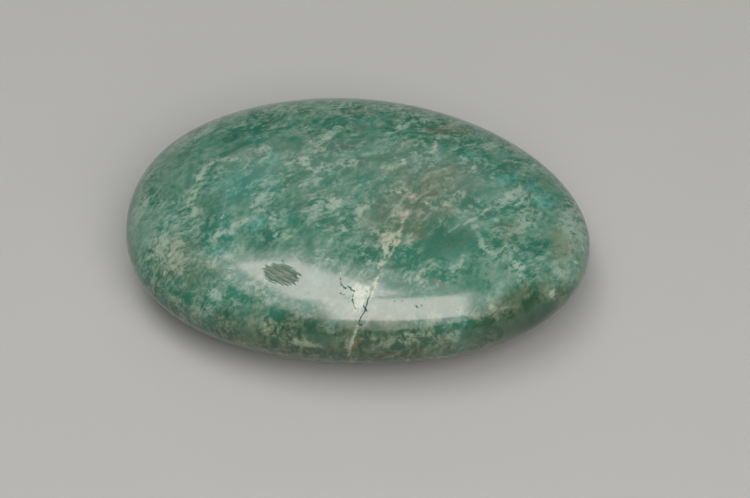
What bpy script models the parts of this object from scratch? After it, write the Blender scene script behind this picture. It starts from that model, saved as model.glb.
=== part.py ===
"""Polished palm stone of green feldspar: one solid stone, an oval pebble lying on its broad side.

Metres, +Z up. +X runs along the length and +Y across the width. The small flat that the
stone rests on is at Z = 0, below the middle of its box.
"""

import math

import bmesh
import bpy
from mathutils import Vector

MM = 0.001

# Driving dimensions of the pebble, in millimetres
HALF_LENGTH = 36.0
HALF_WIDTH = 25.0
HALF_THICKNESS = 10.5
REST_FLAT_DEPTH = 0.15

# How much fuller than a true ellipse the section is, at the shoulder and close to the rim
SHOULDER_FULLNESS = 0.15
RIM_FULLNESS = 0.05

# The outline from above isn't a true oval. Each wave has its number of lobes, its height as
# a part of the radius, and the angle of its first lobe in degrees from +X.
OUTLINE_WAVES = (
    (3, 0.0210, -14.7),
    (4, 0.0080, 50.7),
    (5, 0.0039, 11.5),
)

# Facets along each quarter turn of the surface
FACETS_PER_QUARTER = 24

STONE_GREEN = (0.075, 0.215, 0.140, 1.0)
POLISH_ROUGHNESS = 0.18


def clear_scene() -> None:
    """Remove every object that the file opened with."""
    for obj in list(bpy.data.objects):
        bpy.data.objects.remove(obj)


def outline_swell(reach: float, angle: float) -> float:
    """Give the factor by which the oval swells or draws in.

    Args:
        reach: Distance from the upright axis, 0 there and 1 at the rim.
        angle: Direction seen from above, in radians from +X.

    Returns:
        A factor close to 1 for both horizontal coordinates.
    """
    waves = sum(
        height * math.cos(lobes * (angle - math.radians(first)))
        for lobes, height, first in OUTLINE_WAVES
    )
    return 1.0 + waves * reach**2


def on_stone(direction: Vector) -> Vector:
    """Carry a point of the unit sphere to the stone's surface.

    Args:
        direction: A point on the unit sphere.

    Returns:
        The matching point of the stone in metres, from the middle of the pebble.
    """
    reach = min(1.0, math.hypot(direction.x, direction.y))
    swell = outline_swell(reach, math.atan2(direction.y, direction.x))
    fullness = 1.0 + SHOULDER_FULLNESS * reach**2 + RIM_FULLNESS * reach**4
    return MM * Vector((
        HALF_LENGTH * direction.x * swell,
        HALF_WIDTH * direction.y * swell,
        HALF_THICKNESS * direction.z * fullness,
    ))


def add_sphere_of_squares(mesh: bmesh.types.BMesh) -> None:
    """Make a unit sphere from a finely divided cube, which has no pinched poles.

    Args:
        mesh: The empty mesh that takes the sphere.
    """
    bmesh.ops.create_cube(mesh, size=2.0)
    bmesh.ops.subdivide_edges(
        mesh, edges=mesh.edges[:], cuts=FACETS_PER_QUARTER - 1, use_grid_fill=True
    )
    eighth_turn = math.pi / 4.0
    for vert in mesh.verts:
        spread = Vector([math.tan(value * eighth_turn) for value in vert.co])
        vert.co = spread.normalized()


def grind_rest_flat(mesh: bmesh.types.BMesh) -> None:
    """Cut the small flat under the belly of the stone and close it with one face.

    Args:
        mesh: The whole pebble, around its own middle.
    """
    level = MM * (REST_FLAT_DEPTH - HALF_THICKNESS)
    cut = bmesh.ops.bisect_plane(
        mesh,
        geom=mesh.verts[:] + mesh.edges[:] + mesh.faces[:],
        plane_co=(0.0, 0.0, level),
        plane_no=(0.0, 0.0, -1.0),
        clear_outer=True,
    )
    rim = [item for item in cut["geom_cut"] if isinstance(item, bmesh.types.BMEdge)]
    bmesh.ops.contextual_create(mesh, geom=rim)


def rest_on_ground(mesh: bmesh.types.BMesh) -> None:
    """Move the pebble so that its box is centred and its flat lies at Z = 0.

    Args:
        mesh: The pebble with its flat.
    """
    low = [min(vert.co[axis] for vert in mesh.verts) for axis in range(3)]
    high = [max(vert.co[axis] for vert in mesh.verts) for axis in range(3)]
    shift = Vector((-(low[0] + high[0]) / 2.0, -(low[1] + high[1]) / 2.0, -low[2]))
    bmesh.ops.translate(mesh, verts=mesh.verts[:], vec=shift)


def stone_material() -> bpy.types.Material:
    """Make the plain green of the polished stone."""
    material = bpy.data.materials.new("polished_feldspar")
    material.use_nodes = True
    shader = material.node_tree.nodes["Principled BSDF"]
    shader.inputs["Base Color"].default_value = STONE_GREEN
    shader.inputs["Roughness"].default_value = POLISH_ROUGHNESS
    shader.inputs["Metallic"].default_value = 0.0
    material.diffuse_color = STONE_GREEN
    return material


def build_stone() -> bpy.types.Object:
    """Model the pebble as one closed solid.

    Returns:
        The stone's object, not yet in a collection.
    """
    mesh = bmesh.new()
    add_sphere_of_squares(mesh)
    for vert in mesh.verts:
        vert.co = on_stone(vert.co)
    grind_rest_flat(mesh)
    rest_on_ground(mesh)
    bmesh.ops.recalc_face_normals(mesh, faces=mesh.faces[:])
    data = bpy.data.meshes.new("palm_stone")
    mesh.to_mesh(data)
    mesh.free()
    data.shade_smooth()
    data.set_sharp_from_angle(angle=math.radians(40.0))
    data.materials.append(stone_material())
    return bpy.data.objects.new("palm_stone", data)


def main() -> None:
    """Build the stone in a collection of its own."""
    clear_scene()
    collection = bpy.data.collections.new("amazonite_palm_stone")
    bpy.context.scene.collection.children.link(collection)
    collection.objects.link(build_stone())


main()
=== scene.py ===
"""Looks of the polished amazonite palm stone: its fine mesh, its mineral finish and a plain studio.

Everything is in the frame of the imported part, +Z up. Sizes are in millimetres where a name
or a docstring doesn't say otherwise, and become metres when they reach Blender.
"""

import logging
import math
from dataclasses import dataclass, field
from enum import Enum

import bmesh
import bpy
import numpy as np
from mathutils import Matrix, Quaternion, Vector, noise


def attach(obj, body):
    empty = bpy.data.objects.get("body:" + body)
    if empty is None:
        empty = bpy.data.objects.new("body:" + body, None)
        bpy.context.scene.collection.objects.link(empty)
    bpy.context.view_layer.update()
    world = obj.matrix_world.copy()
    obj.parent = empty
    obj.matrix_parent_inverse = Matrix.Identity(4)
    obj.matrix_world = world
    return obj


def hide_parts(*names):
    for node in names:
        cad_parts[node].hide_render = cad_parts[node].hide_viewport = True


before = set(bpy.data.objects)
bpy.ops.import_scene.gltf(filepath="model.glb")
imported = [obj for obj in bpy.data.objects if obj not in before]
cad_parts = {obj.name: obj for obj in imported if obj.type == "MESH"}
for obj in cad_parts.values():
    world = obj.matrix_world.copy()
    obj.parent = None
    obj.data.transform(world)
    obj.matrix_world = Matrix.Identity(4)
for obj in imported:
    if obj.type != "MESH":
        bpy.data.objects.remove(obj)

MM = 0.001
NODE = "palm_stone"
BODY = "root"
PIECE = "amazonite_stone"
FADE_END = 1.5
FADE_RUN = 1.3
TINY = 1e-9

log = logging.getLogger("palm_stone")


class Tint(Enum):
    """Colours of the mineral, linear red, green and blue."""

    TEAL = (0.015, 0.098, 0.064)
    DEEP = (0.011, 0.075, 0.052)
    DARK = (0.015, 0.042, 0.028)
    TURQUOISE = (0.016, 0.132, 0.101)
    AQUA = (0.084, 0.236, 0.194)
    PALE = (0.130, 0.229, 0.181)
    TAN = (0.056, 0.090, 0.054)
    STRAW = (0.144, 0.206, 0.151)
    # SHADE and SHADED_MOSS paint shade: the darker, more olive body and sheets of the near side, partly
    # the mineral's own colour and partly the shade that falls there
    SHADE = (0.017, 0.050, 0.027)
    SHADED_MOSS = (0.100, 0.152, 0.096)
    WHITE = (0.192, 0.296, 0.236)
    CREAM = (0.206, 0.264, 0.200)
    OLIVE = (0.048, 0.073, 0.029)
    YELLOW = (0.088, 0.146, 0.061)
    RUST = (0.130, 0.070, 0.031)
    PINK = (0.235, 0.220, 0.175)
    OCHRE = (0.110, 0.070, 0.024)
    FISSURE = (0.010, 0.008, 0.006)
    BARE = (0.082, 0.132, 0.096)
    GROOVE = (0.024, 0.042, 0.028)

    @property
    def measure(self) -> str:
        """The name of the surface measure that holds how much of the tint there is."""
        return "tint_" + self.name.lower()

    @property
    def rgba(self) -> tuple[float, float, float, float]:
        """The colour with full opacity."""
        return (*self.value, 1.0)


@dataclass(frozen=True)
class OutlineWave:
    """One departure of the outline from a true oval: lobes, height as a part, first lobe in degrees."""

    lobes: int
    height: float
    first_lobe: float


@dataclass(frozen=True)
class PebbleForm:
    """The smooth form of the pebble, the same as the solid's."""

    half_length: float = 36.0
    half_width: float = 25.0
    half_thickness: float = 10.5
    rest_flat_depth: float = 0.15
    shoulder_fullness: float = 0.15
    rim_fullness: float = 0.05
    outline_steps: int = 7201
    waves: tuple[OutlineWave, ...] = (
        OutlineWave(3, 0.0210, -14.7),
        OutlineWave(4, 0.0080, 50.7),
        OutlineWave(5, 0.0039, 11.5),
    )

    def swell(self, angle: np.ndarray) -> np.ndarray:
        """Sum the outline's waves.

        Args:
            angle: Directions seen from above, in radians from +X.

        Returns:
            The part of the radius by which the rim stands out, or in where negative.
        """
        total = np.zeros_like(angle)
        for wave in self.waves:
            total += wave.height * np.cos(wave.lobes * (angle - math.radians(wave.first_lobe)))
        return total

    def middle(self) -> np.ndarray:
        """Find the middle of the pebble's widest level, with the box centred over the origin.

        Returns:
            The point in millimetres.
        """
        angle = np.linspace(-math.pi, math.pi, self.outline_steps)
        radius = 1.0 + self.swell(angle)
        x = self.half_length * np.cos(angle) * radius
        y = self.half_width * np.sin(angle) * radius
        return np.array((
            -(x.min() + x.max()) / 2.0,
            -(y.min() + y.max()) / 2.0,
            self.half_thickness - self.rest_flat_depth,
        ))

    def place(self, directions: np.ndarray) -> np.ndarray:
        """Carry points of the unit sphere to the surface.

        Args:
            directions: Unit vectors, one a row.

        Returns:
            Points in millimetres, one a row.
        """
        reach = np.minimum(1.0, np.hypot(directions[:, 0], directions[:, 1]))
        angle = np.arctan2(directions[:, 1], directions[:, 0])
        radius = 1.0 + reach**2 * self.swell(angle)
        fullness = 1.0 + self.shoulder_fullness * reach**2 + self.rim_fullness * reach**4
        points = np.column_stack((
            self.half_length * directions[:, 0] * radius,
            self.half_width * directions[:, 1] * radius,
            self.half_thickness * directions[:, 2] * fullness,
        ))
        return points + self.middle()


@dataclass(frozen=True)
class Ripple:
    """One sine ripple: its height, the radians it turns for each unit along, and where it starts."""

    height: float
    speed: float
    start: float = 0.0

    def at(self, along: np.ndarray, shift: np.ndarray | float = 0.0) -> np.ndarray:
        """Give the ripple's height at each place along it, moved by a shift in radians."""
        return self.height * np.sin(along * self.speed + self.start + shift)


def distance_to_line(points: np.ndarray, line: tuple[tuple[float, ...], ...]) -> np.ndarray:
    """Measure how far points are from a line of straight stretches.

    Args:
        points: Points in millimetres, one a row.
        line: The corners of the line, in order, with as many coordinates as the points.

    Returns:
        The distance of each point from the nearest stretch.
    """
    nearest = np.full(len(points), np.inf)
    corners = np.array(line)
    for start, end in zip(corners[:-1], corners[1:]):
        run = end - start
        part = np.clip((points - start) @ run / (run @ run), 0.0, 1.0)
        gap = np.linalg.norm(points - start - part[:, None] * run, axis=1)
        nearest = np.minimum(nearest, gap)
    return nearest


def depth_inside(points: np.ndarray, outline: tuple[tuple[float, float], ...]) -> np.ndarray:
    """Measure how far points lie inside a closed outline in plan.

    Args:
        points: Points in plan, in millimetres, one a row.
        outline: The corners of the outline, in order.

    Returns:
        The distance from the outline, positive inside and negative outside.
    """
    inside = np.zeros(len(points), bool)
    closed = (*outline, outline[0])
    for (x0, y0), (x1, y1) in zip(closed[:-1], closed[1:]):
        spans = (y0 > points[:, 1]) != (y1 > points[:, 1])
        crossing = x0 + (points[:, 1] - y0) * (x1 - x0) / (y1 - y0 + TINY)
        inside ^= spans & (points[:, 0] < crossing)
    return np.where(inside, 1.0, -1.0) * distance_to_line(points, closed)


@dataclass(frozen=True)
class HealedFracture:
    """The pale vein that crosses the stone from front to back, open as a fine fissure at the front.

    course holds places of its sheet, as y and x. bands holds its filling, as y, half width and
    strength. The fissure's tapers are the lengths over which it closes at its two ends.
    """

    course: tuple[tuple[float, float], ...] = (
        (-26.0, 1.1),
        (-24.3, 1.9),
        (-23.0, 2.6),
        (-21.2, 3.3),
        (-18.9, 4.0),
        (-15.2, 5.2),
        (-12.9, 6.3),
        (-9.4, 7.1),
        (-5.6, 7.6),
        (-2.6, 8.0),
        (1.2, 10.1),
        (4.4, 10.2),
        (9.0, 10.7),
        (15.0, 11.3),
        (26.0, 12.6),
    )
    bands: tuple[tuple[float, float, float], ...] = (
        (-26.0, 0.22, 0.60),
        (-23.4, 0.22, 0.70),
        (-22.6, 0.16, 0.40),
        (-19.4, 0.18, 0.45),
        (-18.2, 0.28, 0.65),
        (-15.5, 0.30, 0.62),
        (-14.2, 0.26, 0.50),
        (-12.8, 0.26, 0.55),
        (-11.4, 0.34, 1.00),
        (-8.4, 0.28, 0.90),
        (-6.6, 0.28, 0.85),
        (-5.6, 0.36, 1.00),
        (-4.2, 0.24, 0.50),
        (-1.5, 0.30, 0.75),
        (1.0, 0.28, 0.60),
        (3.0, 0.20, 0.30),
        (7.0, 0.20, 0.30),
        (9.4, 0.28, 0.75),
        (11.0, 0.24, 0.60),
        (13.5, 0.26, 0.40),
        (17.0, 0.30, 0.25),
        (26.0, 0.30, 0.20),
    )
    band_fullness: float = 1.45
    band_fade: float = 0.7
    lean: float = 0.05
    top_level: float = 20.0
    wiggles: tuple[Ripple, ...] = (Ripple(0.07, 2.3), Ripple(0.03, 6.1, 1.0))
    fissure_front: float = -23.2
    fissure_back: float = -18.6
    fissure_front_taper: float = 0.5
    fissure_back_taper: float = 0.8
    fissure_depth: float = 0.14
    fissure_half_width: float = 0.058
    fissure_lowest_level: float = 11.0
    lowest_level: float = 9.0
    trough_depth: float = 0.035
    trough_half_width: float = 0.35
    trough_breaks: tuple[Ripple, ...] = (Ripple(1.0, 0.9), Ripple(0.6, 2.7))

    def across(self, points: np.ndarray) -> np.ndarray:
        """Measure how far points lie to the side of the vein's sheet, in millimetres.

        Args:
            points: Points in millimetres, one a row.

        Returns:
            The signed distance, positive towards +X.
        """
        along, side = np.array(self.course).T
        sheet = np.interp(points[:, 1], along, side) - self.lean * (self.top_level - points[:, 2])
        wiggle = sum(ripple.at(points[:, 1]) for ripple in self.wiggles)
        return points[:, 0] - sheet - wiggle

    def band(self, points: np.ndarray) -> np.ndarray:
        """Give how strongly the pale filling shows at each point, from 0 to 1.

        Args:
            points: Points in millimetres, one a row.

        Returns:
            One value a point.
        """
        along, half_width, strength = np.array(self.bands).T
        reach = np.abs(self.across(points)) / np.interp(points[:, 1], along, half_width)
        fading = np.clip(self.band_fullness - self.band_fade * reach, 0.0, 1.0)
        return np.interp(points[:, 1], along, strength) * fading

    def fissure(self, points: np.ndarray) -> np.ndarray:
        """Give how far the fissure is open at each point, from 0 to 1.

        Args:
            points: Points in millimetres, one a row.

        Returns:
            One value a point.
        """
        gap = np.abs(self.across(points)) / self.fissure_half_width
        start = np.clip((points[:, 1] - self.fissure_front) / self.fissure_front_taper, 0.0, 1.0)
        end = np.clip((self.fissure_back - points[:, 1]) / self.fissure_back_taper, 0.0, 1.0)
        upper = points[:, 2] > self.fissure_lowest_level
        return np.clip(1.0 - gap, 0.0, 1.0) * start * end * upper

    def zone(self, points: np.ndarray, reach: float) -> np.ndarray:
        """Tell which points of the upper part lie within a reach of the vein.

        Args:
            points: Points in millimetres, one a row.
            reach: The reach in millimetres.

        Returns:
            One truth value a point.
        """
        return (np.abs(self.across(points)) < reach) & (points[:, 2] > self.lowest_level)

    def fissure_zone(self, points: np.ndarray, reach: float) -> np.ndarray:
        """Tell which points lie within a reach of the open fissure.

        Args:
            points: Points in millimetres, one a row.
            reach: The reach in millimetres.

        Returns:
            One truth value a point.
        """
        front = self.fissure_front - reach < points[:, 1]
        back = points[:, 1] < self.fissure_back + reach
        return front & back & self.zone(points, reach)

    def depth(self, points: np.ndarray) -> np.ndarray:
        """Give how deep the vein is worn below the polish, in millimetres.

        Args:
            points: Points in millimetres, one a row.

        Returns:
            One depth a point.
        """
        trough = np.exp(-((self.across(points) / self.trough_half_width) ** 2))
        patchy = np.clip(sum(ripple.at(points[:, 1]) for ripple in self.trough_breaks), 0.0, 1.0)
        return self.trough_depth * trough * patchy + self.fissure_depth * self.fissure(points)


@dataclass(frozen=True)
class ScuffedHollow:
    """The small unpolished hollow with parallel cleavage grooves, near the front edge.

    groove_turn is the grooves' angle from +X in degrees. groove_half_width counts in pitches.
    Grooves reach out past the outline by up to groove_reach less polish_reach, and the polish
    between them reaches in by polish_reach.
    """

    outline: tuple[tuple[float, float], ...] = (
        (-11.9, -17.3),
        (-12.2, -16.5),
        (-11.2, -16.1),
        (-10.1, -15.9),
        (-8.8, -16.2),
        (-7.4, -17.2),
        (-7.5, -18.2),
        (-8.6, -18.5),
        (-10.5, -18.3),
        (-11.4, -17.9),
    )
    centre: tuple[float, float] = (-9.4, -17.4)
    lowest_level: float = 14.0
    groove_turn: float = -23.0
    groove_fan: float = 0.0225
    groove_pitch: float = 0.31
    groove_half_width: float = 0.46
    sway: Ripple = Ripple(0.045, 2.6)
    tremble: Ripple = Ripple(0.02, 6.3)
    tremble_change: float = 3.0
    ragged_end: float = 0.34
    end_ripples: tuple[Ripple, ...] = (Ripple(1.0, 2.4, 0.7), Ripple(0.6, 4.1))
    groove_reach: float = 0.96
    polish_reach: float = 0.48
    soft_edge: float = 0.12
    zone_reach: float = 0.68
    groove_fullness: float = 0.62
    groove_breaks: tuple[tuple[Ripple, float], ...] = ((Ripple(0.60, 1.3), 2.4), (Ripple(0.36, 3.1), 5.1))
    hollow_depth: float = 0.05
    groove_depth: float = 0.09

    def _along_grooves(self) -> np.ndarray:
        """Give the unit vector along the grooves in plan."""
        angle = math.radians(self.groove_turn)
        return np.array((math.cos(angle), math.sin(angle)))

    def _lanes(self, points: np.ndarray) -> tuple[np.ndarray, np.ndarray]:
        """Count grooves across the hollow.

        Args:
            points: Points in millimetres, one a row.

        Returns:
            Each point's place counted in grooves, and its place along them in millimetres.
        """
        cos, sin = self._along_grooves()
        offset = points[:, :2] - np.array(self.centre)
        along = offset[:, 0] * cos + offset[:, 1] * sin
        side = offset[:, 1] * cos - offset[:, 0] * sin
        side += self.groove_fan * along * np.abs(along) + self.sway.at(along, side)
        side += self.tremble.at(along, side * self.tremble_change)
        return side / self.groove_pitch, along

    def _stroke(self, points: np.ndarray) -> tuple[np.ndarray, np.ndarray]:
        """Find the groove nearest to each point.

        Args:
            points: Points in millimetres, one a row.

        Returns:
            The groove's number, and how close to its middle the point is, from 0 to 1.
        """
        count = self._lanes(points)[0]
        lane = np.round(count)
        return lane, np.clip(1.0 - np.abs(count - lane) / self.groove_half_width, 0.0, 1.0)

    def cover(self, points: np.ndarray) -> np.ndarray:
        """Give how much each point lies in the hollow, from 0 outside to 1.

        Each groove starts and ends at its own place, and polish is left between their ends.

        Args:
            points: Points in millimetres, one a row.

        Returns:
            One value a point.
        """
        lane, core = self._stroke(points)
        slide = self.ragged_end * sum(ripple.at(lane) for ripple in self.end_ripples)
        moved = points[:, :2] + slide[:, None] * self._along_grooves()
        inside = depth_inside(moved, self.outline) + self.groove_reach * core - self.polish_reach
        cover = np.clip(inside / self.soft_edge, 0.0, 1.0)
        return np.where(points[:, 2] > self.lowest_level, cover, 0.0)

    def grooves(self, points: np.ndarray) -> np.ndarray:
        """Give how deep in a groove each point lies, from 0 to 1.

        Args:
            points: Points in millimetres, one a row.

        Returns:
            One value a point.
        """
        lane, core = self._stroke(points)
        along = self._lanes(points)[1]
        breaks = sum(ripple.at(along, lane * change) for ripple, change in self.groove_breaks)
        return core * np.clip(self.groove_fullness + breaks, 0.0, 1.0) * self.cover(points)

    def zone(self, points: np.ndarray) -> np.ndarray:
        """Tell which points lie in or right beside the hollow."""
        near = depth_inside(points[:, :2], self.outline) > -self.zone_reach
        return near & (points[:, 2] > self.lowest_level)

    def depth(self, points: np.ndarray) -> np.ndarray:
        """Give how deep the hollow is below the polish, in millimetres."""
        return self.hollow_depth * self.cover(points) + self.groove_depth * self.grooves(points)


@dataclass(frozen=True)
class Crack:
    """One short crack or chip: its corners in plan, and its half width."""

    corners: tuple[tuple[float, float], ...]
    half_width: float


@dataclass(frozen=True)
class HairCracks:
    """The short dark cracks and chips beside the fissure."""

    cracks: tuple[Crack, ...] = (
        Crack(((-0.85, -17.3), (-0.8, -17.8), (-0.6, -18.3)), 0.020),
        Crack(((-0.35, -18.55), (-0.05, -18.7)), 0.050),
        Crack(((-0.2, -18.9), (0.15, -18.65)), 0.055),
        Crack(((-0.75, -18.4), (-0.55, -18.3)), 0.060),
        Crack(((0.35, -18.45), (0.5, -18.55)), 0.060),
        Crack(((0.7, -18.6), (0.95, -19.0)), 0.080),
        Crack(((1.05, -18.9), (1.35, -18.95)), 0.060),
        Crack(((-0.3, -19.65), (0.0, -19.6)), 0.055),
        Crack(((-0.65, -19.5), (-0.5, -19.45)), 0.050),
        Crack(((1.35, -19.0), (1.2, -19.9), (1.25, -20.4), (1.5, -20.9), (1.8, -21.3)), 0.038),
        Crack(((1.2, -20.05), (1.22, -20.25)), 0.070),
        Crack(((3.1, -18.75), (3.3, -18.95)), 0.050),
        Crack(((2.9, -20.75), (3.25, -21.2)), 0.045),
        Crack(((3.22, -21.15), (3.32, -21.35)), 0.110),
        Crack(((10.65, -19.85), (10.85, -20.0)), 0.055),
        Crack(((11.35, -19.62), (11.42, -19.67)), 0.050),
        Crack(((2.4, -22.98), (2.7, -23.02)), 0.120),
    )
    lowest_level: float = 12.0
    depth_there: float = 0.08
    soft_side: float = 1.5
    usual_part: float = 0.72
    uneven_part: Ripple = Ripple(0.45, 7.0)
    uneven_change: float = 9.0
    zone_reach: float = 0.2

    def openness(self, points: np.ndarray) -> np.ndarray:
        """Give how far a crack is open at each point, from 0 to 1.

        Args:
            points: Points in millimetres, one a row.

        Returns:
            One value a point.
        """
        ripple = self.uneven_part.at(points[:, 0], points[:, 1] * self.uneven_change)
        uneven = self.usual_part + ripple
        openness = np.zeros(len(points))
        for crack in self.cracks:
            gap = distance_to_line(points[:, :2], crack.corners) / (crack.half_width * uneven)
            openness = np.maximum(openness, np.clip(self.soft_side - gap, 0.0, 1.0))
        return np.where(points[:, 2] > self.lowest_level, openness, 0.0)

    def zone(self, points: np.ndarray) -> np.ndarray:
        """Tell which points lie at a crack.

        Args:
            points: Points in millimetres, one a row.

        Returns:
            One truth value a point.
        """
        near = np.full(len(points), np.inf)
        for crack in self.cracks:
            gap = distance_to_line(points[:, :2], crack.corners) - crack.half_width
            near = np.minimum(near, gap)
        return (near < self.zone_reach) & (points[:, 2] > self.lowest_level)


def faded(reach: np.ndarray) -> np.ndarray:
    """Turn a distance counted in half sizes into a soft cover.

    Args:
        reach: Distances from the middle of a mark, 1 at its half size.

    Returns:
        1 near the middle, easing to 0 well outside.
    """
    part = np.clip((FADE_END - reach) / FADE_RUN, 0.0, 1.0)
    return part * part * (3.0 - 2.0 * part)


@dataclass(frozen=True)
class Patch:
    """One soft-edged patch of colour inside the mineral.

    x, y and level are its middle, along and across its half sizes, turn the angle of its
    length from +X seen from above, and strength how much of its tint it brings.
    """

    tint: Tint
    x: float
    y: float
    along: float
    across: float
    turn: float
    strength: float
    level: float = 19.5
    height: float = 6.0

    def cover(self, points: np.ndarray) -> np.ndarray:
        """Give how much of the patch each point takes.

        Args:
            points: Points in millimetres, one a row.

        Returns:
            One value a point, the patch's strength in its middle and 0 well outside.
        """
        offset = points - np.array((self.x, self.y, self.level))
        cos, sin = math.cos(math.radians(self.turn)), math.sin(math.radians(self.turn))
        reach = np.sqrt(
            ((offset[:, 0] * cos + offset[:, 1] * sin) / self.along) ** 2
            + ((offset[:, 1] * cos - offset[:, 0] * sin) / self.across) ** 2
            + (offset[:, 2] / self.height) ** 2
        )
        return self.strength * faded(reach)


@dataclass(frozen=True)
class Streak:
    """One soft-edged streak of colour that follows a line in plan."""

    tint: Tint
    corners: tuple[tuple[float, float], ...]
    across: float
    strength: float
    level: float = 19.5
    height: float = 6.0

    def cover(self, points: np.ndarray) -> np.ndarray:
        """Give how much of the streak each point takes.

        Args:
            points: Points in millimetres, one a row.

        Returns:
            One value a point, the streak's strength along its line and 0 well outside.
        """
        side = distance_to_line(points[:, :2], self.corners) / self.across
        rise = (points[:, 2] - self.level) / self.height
        return self.strength * faded(np.hypot(side, rise))


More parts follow.
